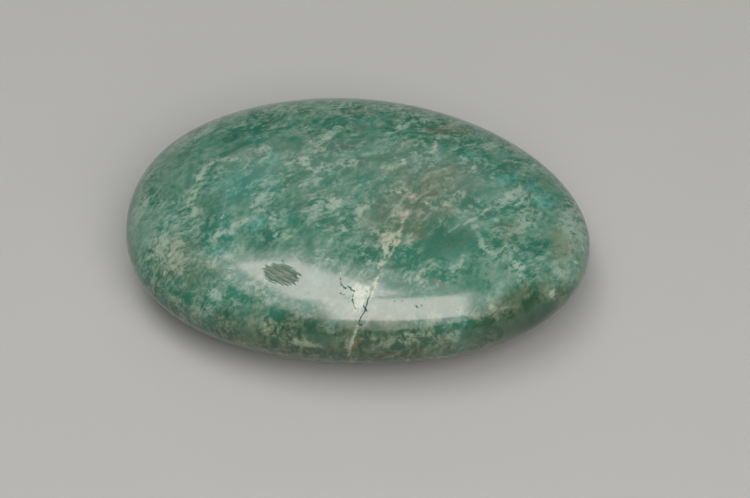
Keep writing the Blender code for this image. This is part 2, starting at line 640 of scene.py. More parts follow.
PATCHES: tuple[Patch | Streak, ...] = (
    # Blue-green fields of the upper face
    Patch(Tint.TURQUOISE, -17.5, -1.5, 7.0, 5.0, 30.0, 0.60),
    Patch(Tint.TURQUOISE, -18.5, 0.0, 2.6, 2.0, 60.0, 0.70),
    Patch(Tint.TURQUOISE, -21.5, -2.2, 1.7, 1.3, 40.0, 0.70),
    Patch(Tint.TURQUOISE, -15.9, 3.4, 1.6, 1.0, 40.0, 0.70),
    Patch(Tint.TURQUOISE, -13.2, 3.2, 1.7, 1.3, 40.0, 0.80),
    Patch(Tint.TURQUOISE, -13.5, 4.9, 1.5, 1.0, 40.0, 0.70),
    Patch(Tint.TURQUOISE, -14.4, -9.0, 2.0, 1.3, 40.0, 0.75),
    Patch(Tint.TURQUOISE, -20.0, -13.5, 3.5, 1.8, 20.0, 0.45),
    Patch(Tint.TURQUOISE, 5.5, -3.8, 1.8, 1.3, 40.0, 0.90),
    Patch(Tint.TURQUOISE, 28.2, 2.4, 2.4, 1.6, 60.0, 0.90),
    Patch(Tint.TURQUOISE, 22.2, 4.8, 2.2, 1.4, 40.0, 0.90),
    Patch(Tint.TURQUOISE, 26.4, 4.6, 1.8, 1.2, 40.0, 0.80),
    Patch(Tint.TURQUOISE, 16.4, 8.2, 3.0, 1.5, 30.0, 0.60),
    Patch(Tint.TURQUOISE, 21.6, 10.4, 2.2, 1.2, 30.0, 0.60),
    Patch(Tint.TURQUOISE, -16.3, 7.9, 2.2, 1.2, 30.0, 0.55),
    # Broad olive-tan fields
    Patch(Tint.TAN, 13.0, 1.8, 7.0, 4.6, 30.0, 0.62),
    Patch(Tint.TAN, 8.0, -4.0, 10.0, 6.0, 45.0, 0.75),
    Patch(Tint.TAN, 9.4, -8.3, 2.6, 2.0, 50.0, 0.90),
    Patch(Tint.TAN, 5.2, 3.0, 2.4, 1.6, 40.0, 0.55),
    Patch(Tint.TAN, -21.5, -4.7, 2.8, 2.4, 40.0, 0.40),
    Patch(Tint.TAN, -3.0, -8.6, 1.8, 1.2, 60.0, 0.60),
    Patch(Tint.TAN, 12.2, 14.4, 4.6, 2.2, 15.0, 0.75),
    Patch(Tint.TAN, -1.6, 16.4, 3.4, 1.4, 5.0, 0.60),
    Patch(Tint.TAN, 24.5, -5.0, 3.2, 2.2, 40.0, 0.45),
    Patch(Tint.TAN, 31.2, -5.0, 4.2, 2.6, 80.0, 0.60, 16.0, 7.0),
    Patch(Tint.TAN, -8.2, 9.4, 2.6, 1.6, 50.0, 0.40),
    Patch(Tint.TAN, -25.0, -14.5, 7.0, 4.2, -30.0, 0.68, 15.0, 7.0),
    # Deep green places between the pale sheets
    Streak(Tint.DEEP, ((-21.5, 4.8), (-19.5, 6.2), (-17.3, 7.4)), 0.75, 1.10),
    Patch(Tint.DEEP, -17.4, -0.6, 0.9, 0.6, -40.0, 0.90),
    Patch(Tint.DEEP, -17.5, -4.5, 1.5, 0.55, 85.0, 0.80),
    Patch(Tint.DEEP, -16.9, -7.2, 1.1, 0.6, 60.0, 0.80),
    Streak(Tint.DEEP, ((-26.0, 2.6), (-26.3, -1.2)), 0.75, 0.80),
    Patch(Tint.DEEP, -31.3, -1.1, 1.2, 0.7, 60.0, 0.70, 16.0),
    Patch(Tint.DEEP, -26.1, -4.2, 1.2, 0.5, 80.0, 0.60),
    Patch(Tint.DEEP, -22.9, -5.1, 1.2, 0.7, 50.0, 0.60),
    Patch(Tint.DEEP, -21.2, -9.6, 1.9, 0.7, 20.0, 0.70),
    Patch(Tint.DEEP, -14.4, -10.2, 1.2, 0.7, 50.0, 0.60),
    Patch(Tint.DEEP, -11.9, 6.5, 1.7, 1.0, 35.0, 0.90),
    Patch(Tint.DEEP, -10.9, 8.2, 1.8, 1.0, 40.0, 0.90),
    Patch(Tint.DEEP, -19.6, 7.6, 1.8, 0.8, 30.0, 0.60),
    Patch(Tint.DEEP, -10.7, 12.6, 2.4, 1.0, 30.0, 0.70),
    Patch(Tint.DEEP, -23.8, 8.9, 1.8, 0.8, 40.0, 0.50),
    Patch(Tint.DEEP, -6.8, -10.0, 1.5, 1.2, 60.0, 1.00),
    Patch(Tint.DEEP, -6.1, -12.6, 1.7, 0.9, 100.0, 0.75),
    Patch(Tint.DEEP, -3.9, -10.4, 1.5, 0.6, 80.0, 0.60),
    Patch(Tint.DEEP, 0.3, -10.4, 1.1, 0.7, 60.0, 0.60),
    Patch(Tint.DEEP, -0.2, -13.2, 1.3, 0.8, 40.0, 0.60),
    Patch(Tint.DEEP, -10.6, -8.4, 1.6, 0.9, 45.0, 0.50),
    Patch(Tint.DEEP, -1.9, 2.0, 1.4, 0.9, 40.0, 0.80),
    Patch(Tint.DEEP, 1.3, 1.8, 1.5, 0.9, 50.0, 0.90),
    Patch(Tint.DEEP, 3.4, 5.6, 1.6, 1.0, 40.0, 0.90),
    Patch(Tint.DEEP, -3.4, 8.5, 1.4, 0.8, 50.0, 0.80),
    Patch(Tint.DEEP, -2.7, 11.0, 1.2, 0.8, 50.0, 0.70),
    Patch(Tint.DEEP, -0.6, 10.2, 1.2, 0.8, 40.0, 0.70),
    Patch(Tint.DEEP, -1.6, 14.6, 1.8, 0.9, 20.0, 0.60),
    Patch(Tint.DEEP, 4.1, 16.0, 1.8, 0.9, 20.0, 0.80),
    Patch(Tint.DEEP, 3.8, -6.5, 1.6, 0.8, 30.0, 0.80),
    Patch(Tint.DEEP, 0.6, 7.8, 1.8, 0.9, 30.0, 0.50),
    Patch(Tint.DEEP, 20.0, -3.5, 2.2, 0.9, 30.0, 1.40),
    Streak(Tint.DEEP, ((16.3, -2.8), (16.9, -1.2), (18.2, -1.8)), 0.60, 0.90),
    Patch(Tint.DEEP, 23.2, -6.8, 1.6, 0.9, 40.0, 0.80),
    Patch(Tint.DEEP, 22.0, -8.3, 1.4, 0.9, 60.0, 0.80),
    Patch(Tint.DEEP, 22.8, -11.2, 1.6, 0.9, 50.0, 0.80),
    Patch(Tint.DEEP, 18.8, -12.4, 1.8, 0.9, 20.0, 0.80),
    Patch(Tint.DEEP, 16.1, -7.2, 1.3, 0.7, 50.0, 0.80),
    Patch(Tint.DEEP, 15.1, -8.5, 1.3, 0.7, 60.0, 0.80),
    Patch(Tint.DEEP, 27.0, 0.7, 1.2, 0.8, 30.0, 0.80),
    Patch(Tint.DEEP, 28.8, -0.6, 1.2, 0.7, 40.0, 0.70),
    Patch(Tint.DEEP, 19.0, 1.2, 1.4, 0.7, 50.0, 0.60),
    Patch(Tint.DEEP, 10.9, -13.0, 1.8, 0.8, 50.0, 0.60),
    Patch(Tint.DEEP, 14.5, -9.5, 7.0, 4.0, 30.0, 0.65),
    Patch(Tint.DEEP, 18.0, -14.0, 5.0, 2.6, 30.0, 0.45),
    # Calmer, slightly darker grain painted along the band where the main highlight falls and at its left
    # tail, a painted highlight effect
    Streak(
        Tint.TEAL,
        ((-15.0, -15.8), (-8.0, -18.0), (2.0, -20.2), (12.0, -19.6), (20.0, -16.2)),
        2.4,
        1.00,
    ),
    Patch(Tint.TEAL, -24.0, -15.0, 8.0, 4.6, -30.0, 0.55, 15.0, 7.0),
    # Olive and yellow-green stains
    Patch(Tint.YELLOW, -29.6, 4.2, 3.4, 1.5, 82.0, 0.60, 16.5),
    Patch(Tint.YELLOW, -29.8, 2.2, 1.0, 0.8, 30.0, 0.80, 16.5),
    Patch(Tint.YELLOW, -29.3, 6.4, 1.4, 0.9, 50.0, 0.90, 16.5),
    Patch(Tint.YELLOW, -13.0, -0.8, 0.9, 0.6, 30.0, 0.70),
    Patch(Tint.YELLOW, -15.6, 2.5, 1.9, 0.5, 10.0, 0.50),
    Streak(Tint.YELLOW, ((-6.6, -2.0), (-4.4, -3.0)), 0.55, 0.80),
    Patch(Tint.YELLOW, -16.4, 14.0, 1.8, 1.1, 20.0, 0.60),
    Patch(Tint.YELLOW, 28.0, 7.0, 2.4, 1.3, 110.0, 0.90, 17.0),
    Patch(Tint.YELLOW, 25.6, -3.6, 2.2, 1.6, 70.0, 0.50),
    Patch(Tint.YELLOW, 31.0, -3.6, 3.6, 2.0, 80.0, 0.50, 16.0),
    Patch(Tint.OLIVE, -11.3, 3.9, 0.9, 0.65, 20.0, 1.00),
    Patch(Tint.OLIVE, -4.1, 0.0, 0.9, 0.5, 30.0, 1.00),
    Patch(Tint.OLIVE, -21.8, -6.7, 1.1, 0.7, 30.0, 0.60),
    Patch(Tint.OLIVE, -14.6, 14.3, 1.5, 0.8, 10.0, 0.70),
    Patch(Tint.OLIVE, -0.6, 12.1, 1.2, 0.8, 20.0, 1.00),
    Patch(Tint.OLIVE, -4.9, 14.6, 1.5, 0.8, 10.0, 0.70),
    Patch(Tint.OLIVE, 14.4, 5.5, 1.7, 1.0, 30.0, 0.80),
    Patch(Tint.OLIVE, 11.2, 3.0, 1.2, 0.7, 50.0, 0.60),
    Patch(Tint.OLIVE, 12.1, -0.8, 1.4, 0.7, 50.0, 0.80),
    Patch(Tint.OLIVE, 12.6, 11.0, 1.8, 0.9, 20.0, 0.80),
    Patch(Tint.OLIVE, 9.6, -2.9, 1.2, 0.6, 50.0, 0.80),
    # Dark thin seams
    Streak(Tint.DARK, ((8.8, -4.0), (10.4, -1.8), (12.0, -0.5)), 0.35, 0.90),
    Streak(Tint.DARK, ((8.2, -7.8), (7.6, -9.4), (7.2, -11.8)), 0.42, 0.60),
    Patch(Tint.DARK, 6.9, -14.7, 1.2, 0.7, 30.0, 1.00),
    Streak(Tint.DARK, ((6.8, -14.8), (9.0, -14.4)), 0.50, 0.80),
    Streak(Tint.DARK, ((-9.5, 0.8), (-7.7, 3.4)), 0.22, 0.80),
    Streak(Tint.DARK, ((-8.9, 0.8), (-7.2, 3.2)), 0.16, 0.60),
    Streak(Tint.DARK, ((-11.3, 0.4), (-10.4, 1.3)), 0.25, 0.80),
    Streak(Tint.DARK, ((-9.9, -1.1), (-9.0, -0.5)), 0.28, 0.80),
    Streak(Tint.DARK, ((-6.5, 0.7), (-5.6, 1.7)), 0.25, 0.80),
    Streak(Tint.DARK, ((4.4, 1.8), (5.0, 2.7)), 0.16, 0.80),
    Streak(Tint.DARK, ((20.3, -5.8), (22.0, -4.9), (23.2, -4.4)), 0.32, 0.80),
    Patch(Tint.DARK, 14.2, -10.1, 1.2, 0.6, 50.0, 0.60),
    Patch(Tint.DARK, 14.5, -9.0, 6.0, 3.6, 30.0, 0.60),
    Patch(Tint.DARK, 20.0, -13.5, 4.0, 2.4, 30.0, 0.50),
    Streak(Tint.DARK, ((10.8, -12.2), (11.7, -10.9)), 0.28, 0.70),
    # Pale clouds, where the sheets crowd together
    Streak(Tint.PALE, ((-24.2, 0.3), (-23.3, 2.6), (-21.8, 3.5), (-19.0, 3.9)), 0.75, 1.00),
    Patch(Tint.PALE, -17.6, 1.8, 1.1, 0.6, 45.0, 0.90),
    Patch(Tint.PALE, -15.3, 6.2, 1.3, 0.7, 40.0, 1.00),
    Patch(Tint.PALE, -15.9, 8.6, 1.1, 0.6, 40.0, 0.80),
    Patch(Tint.PALE, -14.8, 4.2, 1.1, 0.6, 40.0, 0.80),
    Streak(Tint.PALE, ((-25.0, -2.5), (-25.0, -5.0), (-24.4, -7.3)), 0.65, 1.00),
    Patch(Tint.PALE, -29.8, -4.8, 1.2, 0.8, 70.0, 0.80, 16.5),
    Patch(Tint.PALE, -27.8, -7.6, 0.8, 0.6, 60.0, 0.80),
    Patch(Tint.PALE, -19.9, -7.7, 0.9, 0.6, 40.0, 0.80),
    Streak(Tint.PALE, ((-20.9, -11.1), (-18.3, -10.6), (-17.6, -9.4), (-16.2, -8.4)), 0.45, 1.20),
    Streak(Tint.PALE, ((-15.5, -5.6), (-14.4, -4.2), (-12.8, -2.8)), 0.50, 1.10),
    Patch(Tint.PALE, -13.8, -1.2, 0.9, 0.5, 45.0, 0.70),
    Patch(Tint.PALE, -11.2, -10.6, 1.1, 0.7, 45.0, 1.00),
    Patch(Tint.PALE, -11.9, -7.6, 1.0, 0.6, 45.0, 0.80),
    Patch(Tint.PALE, -9.3, -10.8, 1.0, 0.6, 45.0, 0.90),
    # Painted reflection: the faint left tail of the main highlight, as a pale patch
    Patch(Tint.PALE, -27.0, -13.4, 5.4, 2.8, -30.0, 0.95, 15.0, 7.0),
    # Broad rim patches, partly mineral and partly painted sheen that lightens the ends and the back
    Patch(Tint.PALE, -33.0, -2.0, 6.0, 1.8, 95.0, 0.70, 13.5),
    Patch(Tint.PALE, -26.8, 11.0, 5.0, 2.4, 45.0, 0.90, 16.5),
    Patch(Tint.PALE, -12.0, 16.5, 8.0, 2.2, 12.0, 0.55, 17.0),
    Patch(Tint.PALE, 8.0, 17.0, 8.0, 2.2, -10.0, 0.55, 17.0),
    Patch(Tint.PALE, -12.7, 13.9, 1.4, 0.7, 30.0, 0.80),
    Streak(Tint.PALE, ((-9.9, 11.7), (-8.8, 11.3)), 0.6, 0.80),
    Streak(Tint.PALE, ((-7.0, 7.4), (-5.6, 8.9), (-4.5, 12.1)), 0.75, 1.20),
    Patch(Tint.PALE, -8.5, 7.8, 1.2, 0.7, 45.0, 0.80),
    Streak(Tint.PALE, ((-8.8, 4.0), (-8.0, 2.5), (-7.1, 1.7)), 0.75, 1.00),
    Patch(Tint.PALE, -6.4, -0.4, 1.3, 0.8, 40.0, 0.90),
    Patch(Tint.PALE, -8.2, -0.9, 1.0, 0.6, 40.0, 0.70),
    Patch(Tint.PALE, -1.6, 3.7, 1.4, 0.7, 30.0, 0.90),
    Patch(Tint.PALE, -3.0, -4.4, 1.7, 0.7, 85.0, 1.00),
    Patch(Tint.PALE, 1.0, -5.2, 1.4, 1.0, 60.0, 1.00),
    Patch(Tint.PALE, -1.1, -8.8, 0.95, 0.6, 75.0, 1.30),
    Patch(Tint.PALE, -5.8, -4.8, 1.1, 0.6, 45.0, 0.80),
    Patch(Tint.PALE, -7.8, -6.8, 0.8, 0.5, 45.0, 0.80),
    Patch(Tint.PALE, -5.5, -8.6, 1.0, 0.6, 60.0, 0.80),
    Patch(Tint.PALE, -2.8, -11.4, 0.9, 0.6, 60.0, 0.80),
    Patch(Tint.PALE, 1.6, -11.8, 1.4, 0.8, 60.0, 0.90),
    Patch(Tint.PALE, 3.0, -14.4, 1.4, 0.8, 50.0, 0.80),
    Streak(Tint.PALE, ((4.4, -15.2), (5.2, -13.2)), 0.55, 0.90),
    Patch(Tint.PALE, 3.4, -9.2, 1.3, 0.7, 70.0, 0.80),
    Patch(Tint.PALE, 4.6, 3.6, 1.9, 0.8, 35.0, 0.90),
    Patch(Tint.PALE, 3.5, 1.0, 1.0, 0.7, 40.0, 0.80),
    Patch(Tint.PALE, 6.0, -0.8, 1.4, 0.8, 25.0, 1.30),
    Patch(Tint.PALE, 6.4, 5.2, 1.2, 0.5, 85.0, 1.10),
    Patch(Tint.PALE, 5.4, 13.4, 1.4, 0.6, 50.0, 1.20),
    Patch(Tint.PALE, 7.6, 13.2, 1.3, 0.7, 40.0, 0.90),
    Patch(Tint.PALE, 3.7, 11.4, 1.1, 0.6, 40.0, 0.80),
    Patch(Tint.PALE, 8.3, 17.0, 1.8, 0.8, 10.0, 0.80),
    Patch(Tint.PALE, 8.4, 9.3, 1.1, 0.7, 40.0, 0.70),
    Patch(Tint.PALE, 17.4, 5.8, 1.4, 0.6, 80.0, 1.00),
    Patch(Tint.PALE, 19.9, 4.6, 1.3, 0.6, 50.0, 0.90),
    Patch(Tint.PALE, 19.4, 12.0, 1.7, 0.7, 50.0, 1.00),
    Patch(Tint.PALE, 13.5, 2.8, 1.3, 0.7, 30.0, 0.90),
    Patch(Tint.PALE, 15.0, -0.3, 1.2, 0.7, 45.0, 0.90),
    Streak(Tint.PALE, ((11.0, -3.2), (13.6, -2.5)), 0.55, 0.80),
    Streak(Tint.PALE, ((16.2, -6.0), (18.0, -4.5), (19.8, -2.4), (22.0, -0.5)), 0.28, 1.20),
    Streak(Tint.PALE, ((21.2, -1.0), (22.8, 1.0), (24.2, 3.8)), 0.42, 1.20),
    Patch(Tint.PALE, 22.8, 1.0, 1.3, 0.7, 55.0, 1.00),
    Streak(Tint.PALE, ((23.5, -0.2), (24.6, 1.2), (25.5, 2.2)), 0.28, 1.00),
    Patch(Tint.PALE, 25.5, -3.3, 2.6, 1.8, 80.0, 1.10),
    Patch(Tint.PALE, 26.8, -0.9, 1.3, 0.7, 20.0, 0.80),
    Patch(Tint.PALE, 17.8, -6.2, 1.4, 0.6, 30.0, 1.00),
    Streak(Tint.PALE, ((18.5, -7.2), (19.4, -8.6), (20.5, -10.0)), 0.50, 1.20),
    Patch(Tint.PALE, 24.0, -8.3, 1.3, 0.9, 40.0, 0.90),
    Patch(Tint.PALE, 25.2, -11.0, 1.1, 1.0, 40.0, 1.30),
    Patch(Tint.PALE, 25.4, -12.9, 1.2, 0.8, 40.0, 0.90),
    Streak(Tint.PALE, ((14.0, -8.3), (14.6, -7.0), (15.6, -6.0)), 0.28, 1.00),
    Streak(Tint.PALE, ((15.0, -13.8), (17.0, -11.6)), 0.50, 0.90),
    # Broad rim patches, partly mineral and partly painted sheen that lightens the ends and the back
    Patch(Tint.PALE, 32.8, 0.6, 5.0, 2.4, 100.0, 1.00, 14.5),
    Patch(Tint.PALE, 31.6, -9.0, 3.2, 1.6, 70.0, 0.60, 14.5),
    Streak(Tint.PALE, ((-13.8, 17.8), (-9.0, 17.6), (4.0, 19.0)), 1.4, 0.60, 17.0),
    # White marks
    Patch(Tint.WHITE, -24.3, 0.2, 1.0, 0.6, 50.0, 0.80),
    Patch(Tint.WHITE, -24.9, -3.5, 0.9, 0.4, 80.0, 0.60),
    # Painted reflection: white in the left tail of the main highlight
    Patch(Tint.WHITE, -27.0, -13.4, 1.1, 0.7, 20.0, 0.70, 16.0),
    Patch(Tint.WHITE, -30.4, -12.4, 0.9, 0.6, 20.0, 0.60, 14.5),
    Patch(Tint.WHITE, -25.4, 12.3, 1.3, 0.6, 40.0, 0.60),
    Patch(Tint.WHITE, -5.7, 8.9, 1.2, 0.4, 55.0, 0.50),
    Patch(Tint.WHITE, 6.3, 5.3, 0.9, 0.3, 80.0, 0.60),
    Patch(Tint.WHITE, 5.2, 13.4, 1.0, 0.35, 50.0, 0.60),
    Patch(Tint.WHITE, 6.0, -0.8, 0.9, 0.5, 25.0, 0.70),
    Patch(Tint.WHITE, 25.2, -11.0, 0.7, 0.6, 40.0, 0.70),
    Patch(Tint.WHITE, 22.8, 1.0, 0.7, 0.35, 55.0, 0.60),
    # Painted glints: small white specks at the right end
    Patch(Tint.WHITE, 33.7, -6.7, 0.6, 0.5, 60.0, 1.00, 14.5),
    Patch(Tint.WHITE, 34.7, -3.1, 0.5, 0.4, 60.0, 1.00, 13.5),
    Patch(Tint.WHITE, 30.2, -12.4, 0.8, 0.7, 60.0, 0.90, 13.5),
    # Painted glints: small white specks at the front left
    Patch(Tint.WHITE, -27.1, -15.6, 0.6, 0.5, 40.0, 0.60, 15.0),
    Patch(Tint.WHITE, -24.0, -15.5, 0.45, 0.4, 40.0, 0.80, 16.2),
    Patch(Tint.PINK, -13.4, 11.7, 1.1, 0.6, 40.0, 0.60),
    Patch(Tint.PINK, 23.7, 11.2, 1.5, 0.6, 20.0, 0.60),
    Patch(Tint.PINK, 27.8, -10.4, 1.1, 0.7, 30.0, 0.70),
    Patch(Tint.PINK, 23.2, -4.1, 1.3, 0.6, 45.0, 0.40),
    Patch(Tint.PINK, 32.2, -4.9, 0.9, 0.6, 60.0, 0.50, 15.0),
    Streak(Tint.CREAM, ((22.3, 8.7), (24.4, 9.8), (26.6, 10.3)), 0.45, 1.00),
    # Beside the vein
    Patch(Tint.CREAM, 5.4, -10.2, 2.0, 1.3, 82.0, 1.90),
    Patch(Tint.WHITE, 5.6, -11.2, 1.5, 0.9, 70.0, 1.50),
    Patch(Tint.CREAM, 10.8, 9.9, 1.1, 0.7, 85.0, 1.00),
    Streak(Tint.CREAM, ((10.9, 10.3), (11.0, 12.2)), 0.28, 0.80),
    Patch(Tint.CREAM, 7.8, 2.6, 1.3, 0.45, 15.0, 0.80),
    Patch(Tint.PINK, 8.5, -1.9, 1.1, 0.6, 60.0, 0.70),
    Streak(Tint.CREAM, ((8.2, -3.4), (9.6, -1.7), (11.0, 0.0)), 0.26, 0.90),
    Patch(Tint.PINK, 7.45, -5.7, 0.75, 0.55, 60.0, 1.20),
    Patch(Tint.RUST, 7.5, -5.6, 0.28, 0.20, 60.0, 0.80),
    Patch(Tint.RUST, 10.1, 1.5, 0.5, 0.35, 50.0, 0.60),
    Patch(Tint.PINK, 10.9, 0.8, 0.7, 0.4, 40.0, 0.80),
    Patch(Tint.OCHRE, 6.4, -13.2, 0.6, 0.4, 60.0, 0.80),
    Streak(Tint.OCHRE, ((7.4, -0.6), (7.7, -1.4)), 0.18, 0.70),
    Streak(Tint.OCHRE, ((7.4, -2.3), (7.6, -2.9)), 0.16, 0.70),
    Streak(Tint.OCHRE, ((2.8, -23.3), (2.3, -24.0), (1.5, -24.8)), 0.18, 1.10, 12.0, 2.8),
    Streak(Tint.WHITE, ((2.4, -18.8), (2.2, -21.5)), 0.95, 1.70),
    Patch(Tint.WHITE, 3.5, -19.2, 1.0, 0.9, 60.0, 1.60),
    Streak(Tint.CREAM, ((4.2, -18.2), (5.0, -15.8)), 0.75, 0.75),
    Patch(Tint.CREAM, 4.8, -14.7, 1.3, 0.9, 65.0, 0.80),
    Streak(Tint.RUST, ((13.0, -15.6), (14.2, -16.8)), 0.22, 1.20),
    # The near side: the SHADE and DARK rim patches are painted shade, darker and more olive towards the
    # rim, partly the mineral's own colour; the DEEP and PALE patches are spots of the mineral
    Patch(Tint.SHADE, 0.0, -25.0, 36.0, 5.6, 0.0, 1.00, 9.0, 9.0),
    Patch(Tint.SHADE, 26.0, -17.0, 11.0, 4.6, 38.0, 1.60, 9.0, 8.0),
    # Painted shade: the dark lower right rim
    Patch(Tint.DARK, 26.5, -17.0, 8.0, 3.0, 38.0, 0.75, 11.0, 3.6),
    Patch(Tint.SHADE, -24.0, -19.5, 10.0, 3.6, -35.0, 0.60, 9.0, 6.0),
    Patch(Tint.DEEP, -10.2, -22.0, 3.0, 1.6, 0.0, 0.70, 15.6, 2.4),
    Patch(Tint.DEEP, -3.4, -23.8, 3.4, 2.0, 0.0, 0.70, 13.6, 2.0),
    Patch(Tint.DEEP, -23.5, -19.7, 2.0, 1.2, -35.0, 0.60, 13.5, 2.0),
    Patch(Tint.DEEP, -14.0, -23.6, 1.6, 1.6, 0.0, 0.70, 12.0, 1.5),
    Patch(Tint.DEEP, 15.0, -21.7, 1.4, 1.6, 0.0, 0.90, 13.7, 1.2),
    Patch(Tint.DEEP, 12.2, -23.1, 1.6, 1.6, 0.0, 0.90, 11.7, 1.0),
    Patch(Tint.DEEP, 5.4, -22.6, 1.6, 1.4, 0.0, 0.90, 14.6, 1.0),
    Patch(Tint.DEEP, 19.5, -20.6, 3.0, 2.0, 20.0, 0.90, 12.4, 2.0),
    Patch(Tint.DEEP, 29.5, -14.4, 3.0, 2.0, 40.0, 0.90, 12.0, 2.2),
    Patch(Tint.PALE, -1.8, -23.4, 1.5, 1.4, 0.0, 1.20, 14.5, 1.1),
    Patch(Tint.PALE, -5.2, -24.6, 3.0, 1.6, 0.0, 1.20, 11.5, 1.2),
    Patch(Tint.PALE, 1.4, -24.5, 1.2, 1.4, 0.0, 0.90, 12.0, 1.4),
    Patch(Tint.PALE, -10.7, -23.8, 2.0, 1.4, 0.0, 0.90, 13.1, 1.1),
    Patch(Tint.PALE, -19.0, -19.5, 2.2, 1.2, -25.0, 0.80, 15.6, 1.8),
    Patch(Tint.PALE, -17.4, -16.8, 1.2, 1.8, 0.0, 0.70, 17.6, 2.5),
    Patch(Tint.PALE, -20.2, -21.3, 1.5, 1.2, -30.0, 0.70, 13.6, 1.0),
    Patch(Tint.WHITE, -15.2, -22.6, 0.3, 1.0, 0.0, 0.60, 13.7, 0.7),
    Patch(Tint.PALE, 9.4, -23.3, 1.8, 1.4, 10.0, 1.00, 12.8, 1.0),
    Patch(Tint.PALE, 12.9, -22.7, 1.2, 1.2, 10.0, 1.10, 12.9, 0.6),
    Patch(Tint.PALE, 16.4, -21.7, 1.4, 1.4, 15.0, 1.10, 12.8, 1.7),
    Patch(Tint.PALE, 30.2, -12.4, 1.8, 1.6, 40.0, 0.70, 13.6, 2.0),
    # Partly a stain, partly a painted warm reflection along the bottom front rim
    Streak(Tint.RUST, ((6.0, -24.2), (11.5, -23.3)), 1.6, 0.55, 10.2, 0.9),
    Streak(Tint.OLIVE, ((-15.0, -23.6), (-3.0, -24.8), (4.0, -24.6)), 1.6, 0.70, 10.4, 0.9),
    # The underside, which the photograph doesn't show
    Patch(Tint.TURQUOISE, -12.0, 4.0, 9.0, 5.0, 30.0, 0.60, 1.5),
    Patch(Tint.TAN, 15.0, -5.0, 9.0, 4.0, 60.0, 0.60, 1.5),
    Patch(Tint.DEEP, -4.0, -9.0, 5.0, 2.2, 40.0, 0.80, 1.5),
    Patch(Tint.DEEP, 22.0, 6.0, 5.0, 2.2, 50.0, 0.80, 1.5),
    Patch(Tint.DEEP, -24.0, -3.0, 4.0, 2.0, 60.0, 0.70, 1.5),
    Patch(Tint.PALE, -17.0, -8.0, 5.0, 1.8, 45.0, 0.90, 1.5),
    Patch(Tint.PALE, 3.0, 5.0, 5.0, 2.0, 50.0, 0.90, 1.5),
    Patch(Tint.PALE, 24.0, -6.0, 4.0, 1.8, 60.0, 0.80, 1.5),
    Patch(Tint.YELLOW, -26.0, 6.0, 3.0, 1.8, 40.0, 0.50, 1.5),
    Patch(Tint.OLIVE, 6.0, -13.0, 2.0, 1.2, 30.0, 0.70, 1.5),
)


